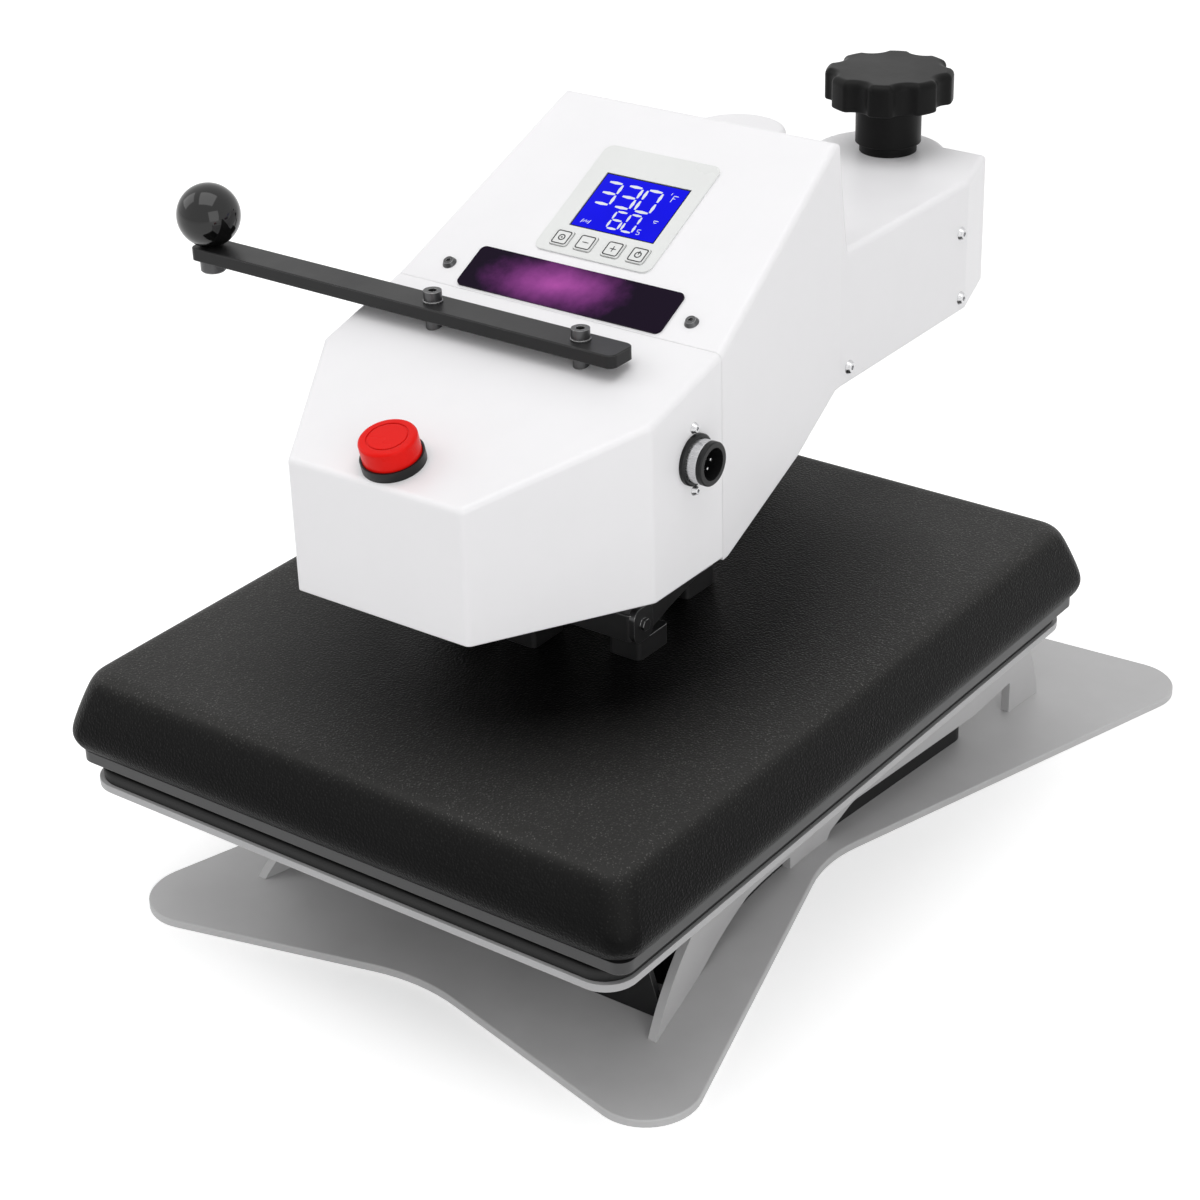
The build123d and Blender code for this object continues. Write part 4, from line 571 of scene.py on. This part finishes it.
def pebbled_coat(name, colour, roughness, rough_spread, scale, depth, head_shade_oval, sheen_strength, gleam):
    """The black pebbled coat of the platen's cover, with a painted pale sheen on its top outside the oval
    of painted shade that the head casts.
    """
    material, tree, shader, vector = blank_material(name, roughness)
    pebbles = place_group(tree, "pebble", vector, Scale=scale)
    clouds = place_group(tree, "grain", vector, Cloud_Scale=9.0)
    # Painted shade in the pebbles' hollows and painted glints on their tops
    hollow, crest_glint, cloudy = (shade(colour, factor) for factor in (0.6, 1.5, 1.1))
    speck = blend_colour(tree, pebbles.outputs["Speck"], hollow, crest_glint)
    base = blend_colour(tree, clouds.outputs["Tone"], speck, cloudy)
    # Painted shade under the head: most of the oval stays dark, and the top outside it takes a painted
    # pale sheen in the dust colour, speckled on the pebbles
    core_of_painted_shade = 0.58
    outside_painted_shade = stretch(tree, oval_reach(tree, vector, (*head_shade_oval, 0)), core_of_painted_shade, 1.0)
    lying = math_node(tree, "MULTIPLY", looking_up(tree, 0.3, 0.85), outside_painted_shade)
    uneven = 0.65 * sheen_strength
    sheen_specks = stretch(tree, pebbles.outputs["Speck"], 0.0, 1.0, sheen_strength - uneven, sheen_strength + uneven)
    pale = math_node(tree, "MULTIPLY", lying, sheen_specks, clamp=True)
    base = blend_colour(tree, pale, base, bpy.context.scene.heat_press_colours.dust)
    tree.links.new(base, shader.inputs["Base Color"])
    rough = stretch(
        tree, clouds.outputs["Tone"], 0.0, 1.0, roughness - rough_spread, roughness + rough_spread)
    tree.links.new(rough, shader.inputs["Roughness"])
    shader.inputs["Specular IOR Level"].default_value = gleam
    bump(tree, shader, pebbles.outputs["Height"], depth)
    return material


def lit_material(name, colour, strength):
    """A lit face behind clear film, a little brighter towards its clouds."""
    material, tree, shader, vector = blank_material(name, roughness=0.25)
    cloud = place_group(tree, "grain", vector, Cloud_Scale=40.0)
    light = blend_colour(tree, cloud.outputs["Tone"], shade(colour, 0.92), colour)
    tree.links.new(light, shader.inputs["Emission Color"])
    shader.inputs["Base Color"].default_value = (0, 0, 0, 1)
    shader.inputs["Specular IOR Level"].default_value = 0.06
    shader.inputs["Emission Strength"].default_value = strength
    return material


def strip_material(name):
    """Glossy dark strip with a soft glow in its middle and drifting streaks of colour."""
    colours = bpy.context.scene.heat_press_colours
    material, tree, shader, vector = blank_material(name, roughness=0.25)
    place, width, height = upper_face("strip_plate")
    half_glow = (0.36 * width, 0.75 * height, 0.75 * height)
    aside = (0.18, 0, 0)
    streak_reach = 0.22
    falloff = 1.6
    centred = add_node(tree, "ShaderNodeMapping", {"Location": -place.translation})
    tree.links.new(vector, centred.inputs["Vector"])
    centred = centred.outputs["Vector"]
    streaks = add_node(tree, "ShaderNodeTexNoise", {"Scale": 26.0, "Detail": 5.0, "Roughness": 0.6})
    tree.links.new(centred, streaks.inputs["Vector"])
    drift = stretch(tree, streaks.outputs["Fac"], 0.3, 0.7, -streak_reach, streak_reach)
    wander = math_node(tree, "ADD", oval_reach(tree, centred, half_glow, aside), drift)
    glow = stretch(tree, wander, 1.0, 0.0)
    soft = math_node(tree, "POWER", glow, falloff)
    violet = blend_colour(tree, glow, colours.strip, colours.strip_violet)
    base = blend_colour(tree, soft, violet, colours.strip_glow)
    tree.links.new(base, shader.inputs["Base Color"])
    shader.inputs["Specular IOR Level"].default_value = 0.05
    return material


def build_finishes():
    """One material for each of the record's slots."""
    colours = bpy.context.scene.heat_press_colours
    # The edge colours below paint a highlight along each part's edges, with patches of wear
    sheen_and_wear_grey = colours.grey_edge_sheen_and_wear
    looks = {
        "white_powder_coat": dict(
            colour=colours.head, roughness=0.4, spread=0.012, grain=700.0, depth=0.02 * MM, edge=1.1 * MM,
            dust=0.02),
        "grey_powder_coat": dict(
            colour=colours.base, roughness=0.48, spread=0.05, grain=1100.0, edge=0.7 * MM, edge_sheen_and_wear=sheen_and_wear_grey,
            evenness=0.85, dust=0.06),
        "table_grey": dict(
            colour=colours.table, roughness=0.44, spread=0.05, grain=1100.0, edge=0.8 * MM, edge_sheen_and_wear=sheen_and_wear_grey,
            evenness=0.9, dust=0.03),
        "black_textured_coat": dict(
            colour=(0.016, 0.016, 0.016), roughness=0.42, spread=0.2, grain=1400.0, depth=0.08 * MM,
            edge=0.8 * MM, edge_sheen_and_wear=(0.09, 0.09, 0.09), evenness=0.7, dust=0.02, gleam=0.2),
        "black_satin_steel": dict(
            colour=colours.bar, roughness=0.36, grain=1000.0, edge=0.7 * MM, edge_sheen_and_wear=(0.12, 0.12, 0.12),
            evenness=0.6, dust=0.015, gleam=0.18),
        "platen_coat": dict(
            colour=(0.03, 0.03, 0.031), roughness=0.4, grain=900.0, edge=0.8 * MM,
            edge_sheen_and_wear=(0.11, 0.11, 0.11), evenness=0.6),
        "black_silicone": dict(
            colour=colours.pad, roughness=0.62, grain=600.0, depth=0.12 * MM, edge=1.2 * MM, gleam=0.3),
        "steel": dict(
            colour=colours.steel, roughness=0.26, metallic=1.0, spread=0.08, grain=1600.0,
            depth=0.01 * MM, edge=0.3 * MM, brushed=True),
        "dark_steel": dict(
            colour=(0.09, 0.09, 0.092), roughness=0.32, metallic=0.85, grain=1500.0, depth=0.02 * MM,
            edge_sheen_and_wear=(0.4, 0.4, 0.4), evenness=0.7),
        "aluminium": dict(
            colour=(0.66, 0.67, 0.68), roughness=0.34, metallic=1.0, spread=0.05, grain=1200.0,
            depth=0.02 * MM, brushed=True),
        "casting": dict(
            colour=(0.2, 0.205, 0.21), roughness=0.55, metallic=0.6, spread=0.12, grain=500.0,
            depth=0.2 * MM, edge=1.5 * MM, edge_sheen_and_wear=(0.4, 0.4, 0.4), evenness=0.2),
        "bronze": dict(
            colour=(0.5, 0.27, 0.1), roughness=0.36, metallic=1.0, spread=0.1, grain=900.0,
            edge=0.4 * MM),
        "element": dict(
            colour=(0.16, 0.12, 0.1), roughness=0.5, metallic=0.8, spread=0.2, grain=700.0,
            depth=0.05 * MM),
        "insulation": dict(
            colour=(0.55, 0.5, 0.4), roughness=0.9, spread=0.12, grain=350.0, depth=0.3 * MM,
            edge=1.0 * MM),
        "black_plastic": dict(
            colour=(0.008, 0.008, 0.0085), roughness=0.36, grain=1300.0, gleam=0.25),
        "black_gloss": dict(
            colour=colours.ball, roughness=0.09, spread=0.1, grain=200.0, depth=0.004 * MM, edge=0.4 * MM,
            rough_spread=0.02),
        "knob_black": dict(
            colour=colours.knob, roughness=0.4, spread=0.2, grain=900.0, depth=0.04 * MM, edge=1.2 * MM,
            edge_sheen_and_wear=(0.03, 0.03, 0.03), dust=0.015, gleam=0.1),
        "red_plastic": dict(
            colour=colours.button, roughness=0.3, spread=0.05, grain=800.0, depth=0.01 * MM,
            edge=0.6 * MM, gleam=0.12),
        "lcd": dict(
            colour=(0.004, 0.004, 0.008), roughness=0.2, spread=0.1, grain=300.0, depth=0.004 * MM,
            edge=0.2 * MM, gleam=0.15),
        "membrane": dict(
            colour=colours.panel, roughness=0.32, spread=0.015, grain=1500.0, depth=0.01 * MM,
            edge=0.3 * MM),
        "board": dict(
            colour=(0.02, 0.13, 0.06), roughness=0.4, grain=500.0, edge=0.3 * MM),
    }
    finishes = {name: coat(name, **look) for name, look in looks.items()}
    finishes["strip"] = strip_material("strip")
    return finishes


FINISHES = {}


# Pieces

class HEATPRESS_OT_finishes(Operator):
    """Build the shared groups and finishes and dress every construction piece"""

    bl_idname = "heat_press.finishes"
    bl_label = "Finishes"

    def execute(self, context):
        build_groups()
        FINISHES.update(build_finishes())
        slots = {part["node"]: part["material_slot"] for part in frame["record"]["subparts"]}
        for name, node in frame["nodes"].items():
            node.data.materials.clear()
            node.data.materials.append(FINISHES[slots[name]])
        return {"FINISHED"}


# Rings of the cover's wall from its lower rim inwards over its top: how high each lies, as a share of the
# cover's height, and how far it stands out past the platen, as a share of the widest ring's reach
COVER_RINGS = (
    (0.07, 0.62), (0.17, 0.97), (0.25, 1), (0.35, 0.86), (0.6, 0.25), (0.8, -0.3), (0.9, -0.66),
    (0.955, -1.1), (0.983, -1.75), (0.985, -2.8), (0.99, -6), (0.995, -12), (0.998, -18),
)


class HEATPRESS_OT_cover(Operator):
    """Model the pebbled cover that swells over the platen's rim up to a soft ridge"""

    bl_idname = "heat_press.cover"
    bl_label = "Platen cover"

    def execute(self, context):
        sizes = context.scene.heat_press_sizes
        low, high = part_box("platen_cover")
        platen_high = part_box("heat_platen")[1]
        centre = (low + high) / 2
        half = Vector((platen_high.x - centre.x, platen_high.y - centre.y))
        bulge = high.x - platen_high.x
        height = high.z - low.z
        # The cover grows out of the upper face of a thin blank, whose other faces are deleted
        blank = 1 * MM
        start_clean()
        bpy.ops.mesh.primitive_cube_add(
            size=1, location=(centre.x, centre.y, low.z - blank / 2),
            scale=(2 * half.x, 2 * half.y, blank))
        cover = settle(named("pebbled_cover"))
        open_piece(cover)
        choose(cover, "EDGE", upright)
        bpy.ops.mesh.bevel(offset=sizes.cover_corner, segments=8, affect="EDGES")
        choose(cover, "FACE", lambda face: face.calc_center_median().z < low.z - NEAR)
        bpy.ops.mesh.delete(type="FACE")
        choose(cover, "FACE", lambda face: face.normal.z > FACING)
        reach = half
        level = low.z
        for rise, swell in COVER_RINGS:
            target = Vector((half.x + swell * bulge, half.y + swell * bulge))
            next_level = low.z + rise * height
            bpy.ops.mesh.extrude_region_move(
                TRANSFORM_OT_translate={"value": (0, 0, next_level - level)})
            bpy.ops.transform.resize(
                value=(target.x / reach.x, target.y / reach.y, 1), center_override=centre)
            reach, level = target, next_level
        close_piece(cover, smooth_angle=80)
        apply_modifier(cover, "SUBSURF", levels=2, render_levels=2)
        apply_modifier(cover, "SOLIDIFY", thickness=sizes.cover_wall, offset=-1)
        pick(cover)
        bpy.ops.object.shade_smooth_by_angle(angle=math.radians(50))
        # The cover's top gets a painted pale sheen outside the oval of painted shade under the head
        material = pebbled_coat(
            "pebbled_black_coat", context.scene.heat_press_colours.cover, roughness=0.4,
            rough_spread=0.05, scale=700.0, depth=0.5 * MM,
            head_shade_oval=(sizes.head_shade_oval_width, sizes.head_shade_oval_length), sheen_strength=0.16, gleam=0.07)
        finish_piece(cover, "carriage", material)
        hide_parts("platen_cover")
        return {"FINISHED"}


class HEATPRESS_OT_pad(Operator):
    """Model the silicone foam pad on the lower table"""

    bl_idname = "heat_press.pad"
    bl_label = "Silicone pad"

    def execute(self, context):
        sizes = context.scene.heat_press_sizes
        low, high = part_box("silicone_pad")
        start_clean()
        bpy.ops.mesh.primitive_cube_add(size=1, location=(low + high) / 2, scale=high - low)
        pad = settle(named("foam_pad"))
        open_piece(pad)
        choose(pad, "EDGE", upright)
        bpy.ops.mesh.bevel(offset=sizes.pad_corner, segments=10, affect="EDGES")
        choose(pad, "EDGE", lambda edge: abs(middle(edge).z - high.z) < NEAR)
        bpy.ops.mesh.bevel(offset=sizes.pad_edge, segments=4, affect="EDGES")
        choose(pad, "EDGE", lambda edge: abs(middle(edge).z - low.z) < NEAR)
        bpy.ops.mesh.bevel(offset=sizes.pad_edge / 3, segments=2, affect="EDGES")
        close_piece(pad, smooth_angle=40)
        finish_piece(pad, "stand", FINISHES["black_silicone"])
        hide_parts("silicone_pad")
        return {"FINISHED"}


# The bars that each digit lights: top, upper left and right, middle, lower left and right, bottom
DIGIT_BARS = {"0": "1110111", "3": "1011011", "6": "1101111"}


def lit_bar(length, width):
    """One bar of a digit: a long hexagon of thin film, widest in its middle."""
    start_clean()
    bpy.ops.mesh.primitive_circle_add(vertices=6, radius=width / 2, fill_type="NGON")
    bar = named("lit_bar")
    open_piece(bar)
    for side in (-1, 1):
        choose(bar, "VERT", lambda vert: side * vert.co.x > NEAR)
        bpy.ops.transform.translate(value=(side * (length - width) / 2, 0, 0))
    bpy.ops.mesh.select_all(action="SELECT")
    bpy.ops.mesh.extrude_region_move(TRANSFORM_OT_translate={"value": (0, 0, FILM)})
    return close_piece(bar)


def readout(name, text, height, place, width_share, pitch_share, weight=0.13):
    """Digits of lit bars in a row, from the left, standing on the place's X axis."""
    width = height * width_share
    thick = height * weight
    gap = 0.7 * thick
    across = lit_bar(width - gap, thick)
    bars = []
    for index, digit in enumerate(text):
        left = index * height * pitch_share
        spots = [
            (width / 2, height, 0), (0, 0.75 * height, 90), (width, 0.75 * height, 90),
            (width / 2, height / 2, 0), (0, 0.25 * height, 90), (width, 0.25 * height, 90),
            (width / 2, 0, 0),
        ]
        for lit, (x, y, angle) in zip(DIGIT_BARS[digit], spots):
            if lit == "1":
                stretch_along = Matrix.Diagonal((height / 2 / width if angle else 1, 1, 1, 1))
                bars.append(copy_of(across, place @ shift(left + x, y) @ turn(angle) @ stretch_along))
    bpy.data.objects.remove(across)
    return join_pieces(name, bars)


def hollow_print(outline, line):
    """Cut the open flat piece back to a line along its rim, as thick as a film."""
    bpy.ops.mesh.select_all(action="SELECT")
    bpy.ops.mesh.inset(thickness=line)
    bpy.ops.mesh.delete(type="FACE")
    bpy.ops.mesh.select_all(action="SELECT")
    bpy.ops.mesh.extrude_region_move(TRANSFORM_OT_translate={"value": (0, 0, FILM)})
    return close_piece(outline)


def ring_print(name, radius, line, sides=24):
    """A printed ring of thin film."""
    start_clean()
    bpy.ops.mesh.primitive_circle_add(vertices=sides, radius=radius, fill_type="NGON")
    ring = named(name)
    open_piece(ring)
    return hollow_print(ring, line)


def frame_print(name, side, corner, line):
    """A printed square frame with round corners."""
    start_clean()
    bpy.ops.mesh.primitive_plane_add(size=1)
    outline = named(name)
    outline.scale = (side, side, 1)
    open_piece(settle(outline))
    bpy.ops.mesh.select_all(action="SELECT")
    bpy.ops.mesh.bevel(offset=corner, segments=5, affect="VERTICES")
    return hollow_print(outline, line)


class HEATPRESS_OT_display(Operator):
    """Model the lit glass of the display and its digits"""

    bl_idname = "heat_press.display"
    bl_label = "Display"

    def execute(self, context):
        sizes = context.scene.heat_press_sizes
        colours = context.scene.heat_press_colours
        place, width, height = upper_face("lcd_module")
        width -= 2 * sizes.display_border
        height -= 2 * sizes.display_border
        start_clean()
        bpy.ops.mesh.primitive_cube_add(size=1, scale=(width, height, sizes.glass_thickness))
        glass = settle(named("lit_glass"))
        open_piece(glass)
        choose(glass, "FACE", lambda face: face.normal.z > FACING)
        bpy.ops.mesh.inset(thickness=sizes.glass_rim, depth=sizes.glass_swell)
        close_piece(glass)
        settle(glass, place @ shift(z=sizes.glass_thickness / 2))
        blue = lit_material("lit_glass", colours.glass, strength=1.0)
        finish_piece(glass, "head", blue)
        white = lit_material("lit_digits", colours.digit, strength=0.9)
        rise = sizes.glass_thickness + sizes.glass_swell + sizes.digit_gap

        def spot(across, up):
            """Frame on the glass, that share of its width and height from its lower left corner."""
            return place @ shift((across - 0.5) * width, (up - 0.5) * height, rise)

        large = readout(
            "temperature_digits", "330", sizes.large_digit, spot(0.07, 0.87) @ shift(y=-sizes.large_digit),
            width_share=0.62, pitch_share=0.83)
        small = readout(
            "time_digits", "60", sizes.small_digit, spot(0.395, 0.075), width_share=0.58, pitch_share=0.76)
        for piece in (large, small, self.unit_marks(spot)):
            finish_piece(piece, "head", white)
        return {"FINISHED"}

    def unit_marks(self, spot):
        """Small strokes beside the digits: degrees, seconds, waves and an arrow."""
        stroke = lit_bar(length=3.4 * MM, width=0.62 * MM)
        tick = lit_bar(length=1.9 * MM, width=0.5 * MM)
        # Each mark's frame, then its strokes: which bar, its place in millimetres and its turn in degrees
        marks = [
            (spot(0.84, 0.885), [(tick, 0, 0, 80)]),
            (spot(0.9, 0.8), [
                (stroke, -1.3, 0.9, 90), (stroke, -1.3, -0.9, 90), (stroke, 0.2, 2.6, 0),
                (tick, -0.3, 0.5, 0)]),
            (spot(0.745, 0.06), [
                (tick, 1.6, 4.4, 0), (tick, 1.6, 2.5, 0), (tick, 1.6, 0.6, 0), (tick, 0.5, 3.5, 90),
                (tick, 2.7, 1.5, 90)]),
            (spot(0.09, 0.06), [
                (stroke, 0, 1.8, 75), (tick, 1.4, 1.8, 60), (tick, 2.6, 2.2, 80), (tick, 3.8, 1.8, 60),
                (stroke, 5.2, 1.8, 75)]),
            (spot(0.87, 0.34), [(stroke, 0.5, 1.2, 0), (tick, -0.6, 0.2, -55), (tick, 0.6, -0.4, 10)]),
        ]
        pieces = [
            copy_of(bar, place @ shift(x * MM, y * MM) @ turn(angle))
            for place, strokes in marks for bar, x, y, angle in strokes]
        for bar in (tick, stroke):
            bpy.data.objects.remove(bar)
        return join_pieces("unit_marks", pieces)


class HEATPRESS_OT_contacts(Operator):
    """Model the bright contacts at the bottom of the accessory socket"""

    bl_idname = "heat_press.contacts"
    bl_label = "Socket contacts"

    def execute(self, context):
        sizes = context.scene.heat_press_sizes
        low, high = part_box("socket_insert")
        mouth = Vector((high.x, (low.y + high.y) / 2, (low.z + high.z) / 2))
        bottom = mouth.x - sizes.socket_depth
        start_clean()
        bpy.ops.mesh.primitive_cylinder_add(
            vertices=20, radius=sizes.contact_radius, depth=sizes.contact_length,
            location=(bottom + sizes.contact_length / 2, mouth.y, mouth.z),
            rotation=(0, math.radians(90), 0))
        contact = settle(named("contact"))
        open_piece(contact)
        choose(contact, "FACE", lambda face: face.normal.x > FACING)
        tip_inset, tip_rise = 0.35 * sizes.contact_radius, 0.3 * sizes.contact_radius
        bpy.ops.mesh.inset(thickness=tip_inset)
        bpy.ops.transform.translate(value=(tip_rise, 0, 0))
        close_piece(contact)
        middle_of_circle = Matrix.Translation(mouth)
        outward = shift(y=sizes.contact_circle)
        count = 5
        contacts = []
        for index in range(count):
            around = Matrix.Rotation(math.radians(360 / count * index), 4, "X")
            place = middle_of_circle @ around @ outward @ middle_of_circle.inverted()
            contacts.append(copy_of(contact, place))
        bpy.data.objects.remove(contact)
        finish_piece(join_pieces("socket_contacts", contacts), "head", FINISHES["steel"])
        return {"FINISHED"}


class HEATPRESS_OT_key_prints(Operator):
    """Model the printed frame and sign on each key"""

    bl_idname = "heat_press.key_prints"
    bl_label = "Key prints"

    def execute(self, context):
        sizes = context.scene.heat_press_sizes
        line = sizes.print_line
        ink = coat(
            "key_ink", context.scene.heat_press_colours.ink, roughness=0.4, spread=0.1,
            grain=1500.0, depth=0.01 * MM, edge=0.1 * MM)
        square = frame_print("key_square", sizes.key_frame, sizes.key_corner, line)
        stroke = lit_bar(sizes.sign_stroke, line)
        ring = ring_print("key_ring", sizes.sign_ring, line)
        # Each sign's parts: how high in millimetres, turned by how many degrees, and its length's share
        signs = {
            "key_1": [(ring, 0, 0, 1), (stroke, 0, 90, 0.3), (stroke, 0, 0, 0.3)],
            "key_2": [(stroke, 0, 0, 1)],
            "key_3": [(stroke, 0, 0, 1), (stroke, 0, 90, 1)],
            "key_4": [(ring, 0, 0, 1), (stroke, 1.6, 90, 0.7)],
        }
        for key, parts in signs.items():
            place = upper_face(key)[0] @ shift(z=sizes.print_rise)
            pieces = [copy_of(square, place)]
            for part, y, angle, length in parts:
                scale = Matrix.Diagonal((length, 1, 1, 1))
                pieces.append(copy_of(part, place @ shift(y=y * MM) @ turn(angle) @ scale))
            finish_piece(join_pieces(f"{key}_print", pieces), key, ink)
        for part in (square, stroke, ring):
            bpy.data.objects.remove(part)
        return {"FINISHED"}


class HEATPRESS_OT_studio(Operator):
    """Set up the pale floor, the soft light and the camera"""

    bl_idname = "heat_press.studio"
    bl_label = "Studio"

    def execute(self, context):
        self.add_floor(context)
        self.add_light(context)
        self.add_camera(context)
        context.scene.view_settings.view_transform = "Standard"
        return {"FINISHED"}

    def add_floor(self, context):
        """Pale floor, drawn as bright as the backdrop where nothing shades it."""
        studio = context.scene.heat_press_studio
        colours = context.scene.heat_press_colours
        start_clean()
        bpy.ops.mesh.primitive_plane_add(size=studio.floor_reach)
        floor = named("studio_floor")
        material, tree, shader, vector = blank_material("studio_floor", roughness=0.9)
        speckle = place_group(tree, "grain", vector, Grain_Scale=60.0, Cloud_Scale=1.5)
        pale = colours.floor
        tone = blend_colour(tree, speckle.outputs["Tone"], shade(pale, 0.998), pale)
        tree.links.new(tone, shader.inputs["Base Color"])
        shader.inputs["Specular IOR Level"].default_value = 0.1
        shader.inputs["Emission Color"].default_value = (1, 1, 1, 1)
        lift = math_node(tree, "MULTIPLY", self.seen_rays(tree), studio.floor_lift)
        tree.links.new(lift, shader.inputs["Emission Strength"])
        floor.data.materials.append(material)

    def seen_rays(self, tree):
        """1 for the camera's rays and for those mirrored or passed on to it, 0 for the rest."""
        ray = tree.nodes.new("ShaderNodeLightPath")
        mirrored = math_node(
            tree, "MAXIMUM", ray.outputs["Is Glossy Ray"], ray.outputs["Is Transmission Ray"])
        return math_node(tree, "MAXIMUM", ray.outputs["Is Camera Ray"], mirrored)

    def add_light(self, context):
        """Even white surroundings and broad soft lamps."""
        studio = context.scene.heat_press_studio
        world = bpy.data.worlds.new("studio_world")
        context.scene.world = world
        world.use_nodes = True
        tree = world.node_tree
        tree.nodes.clear()
        output = tree.nodes.new("ShaderNodeOutputWorld")
        white = (1, 1, 1, 1)
        seen = add_node(tree, "ShaderNodeBackground", {"Color": white, "Strength": 1.0})
        sky = add_node(tree, "ShaderNodeBackground", {"Color": white, "Strength": studio.sky_strength})
        mix = tree.nodes.new("ShaderNodeMixShader")
        tree.links.new(self.seen_rays(tree), mix.inputs["Fac"])
        tree.links.new(sky.outputs["Background"], mix.inputs[1])
        tree.links.new(seen.outputs["Background"], mix.inputs[2])
        tree.links.new(mix.outputs["Shader"], output.inputs["Surface"])
        lamps = [
            ("overhead_lamp", (0.2, -0.4, 3.2), 2.6, 34.0),
            ("left_lamp", (-2.9, -1.1, 2.4), 2.2, 20.0),
            ("right_lamp", (2.8, -1.6, 1.1), 2.2, 19.0),
        ]
        target = Vector((0, 0, 0.2))
        for name, place, side, power in lamps:
            start_clean()
            bpy.ops.object.light_add(type="AREA", location=place)
            lamp = named(name)
            lamp.rotation_euler = (target - Vector(place)).to_track_quat("-Z", "Y").to_euler()
            lamp.data.shape = "SQUARE"
            lamp.data.size = side
            lamp.data.energy = power * studio.lamp_strength

    def add_camera(self, context):
        """The camera of the photograph, solved from the object's edges."""
        studio = context.scene.heat_press_studio
        turned, raised = studio.azimuth, studio.elevation
        back = Vector((
            math.sin(turned) * math.cos(raised), -math.cos(turned) * math.cos(raised), math.sin(raised)))
        level = Vector((math.cos(turned), math.sin(turned), 0))
        top = back.cross(level)
        right = level * math.cos(studio.roll) + top * math.sin(studio.roll)
        above = top * math.cos(studio.roll) - level * math.sin(studio.roll)
        start_clean()
        bpy.ops.object.camera_add()
        camera = named("photo_camera")
        place = Matrix((right, above, back)).transposed().to_4x4()
        place.translation = studio.camera_place
        camera.matrix_world = place
        camera.data.lens = studio.lens
        camera.data.sensor_width = LENS_FRAME
        camera.data.sensor_fit = "HORIZONTAL"
        context.scene.camera = camera


class HEATPRESS_PT_sidebar(Panel):
    """Lists the heat press's pieces in the order in which they are made"""

    bl_idname = "HEATPRESS_PT_sidebar"
    bl_label = "Heat Press"
    bl_space_type = "VIEW_3D"
    bl_region_type = "UI"
    bl_category = "Heat Press"

    def draw(self, context):
        for operator in OPERATORS:
            self.layout.operator(operator.bl_idname)
        for settings in ("heat_press_sizes", "heat_press_colours", "heat_press_studio"):
            box = self.layout.box()
            group = getattr(context.scene, settings)
            for name in group.bl_rna.properties.keys():
                if name not in ("rna_type", "name"):
                    box.prop(group, name)


OPERATORS = (
    HEATPRESS_OT_finishes,
    HEATPRESS_OT_studio,
    HEATPRESS_OT_cover,
    HEATPRESS_OT_pad,
    HEATPRESS_OT_display,
    HEATPRESS_OT_contacts,
    HEATPRESS_OT_key_prints,
)
CLASSES = (HeatPressSizes, HeatPressColours, HeatPressStudio, *OPERATORS, HEATPRESS_PT_sidebar)


def register():
    """Add the classes and their settings to Blender."""
    for entry in CLASSES:
        bpy.utils.register_class(entry)
    bpy.types.Scene.heat_press_sizes = PointerProperty(type=HeatPressSizes)
    bpy.types.Scene.heat_press_colours = PointerProperty(type=HeatPressColours)
    bpy.types.Scene.heat_press_studio = PointerProperty(type=HeatPressStudio)


def unregister():
    """Take the classes and their settings out again."""
    del bpy.types.Scene.heat_press_studio
    del bpy.types.Scene.heat_press_colours
    del bpy.types.Scene.heat_press_sizes
    for entry in reversed(CLASSES):
        bpy.utils.unregister_class(entry)


def main():
    """Make everything in order."""
    register()
    bpy.ops.heat_press.finishes()
    bpy.ops.heat_press.studio()
    bpy.ops.heat_press.cover()
    bpy.ops.heat_press.pad()
    bpy.ops.heat_press.display()
    bpy.ops.heat_press.contacts()
    bpy.ops.heat_press.key_prints()


if __name__ == "__main__":
    main()
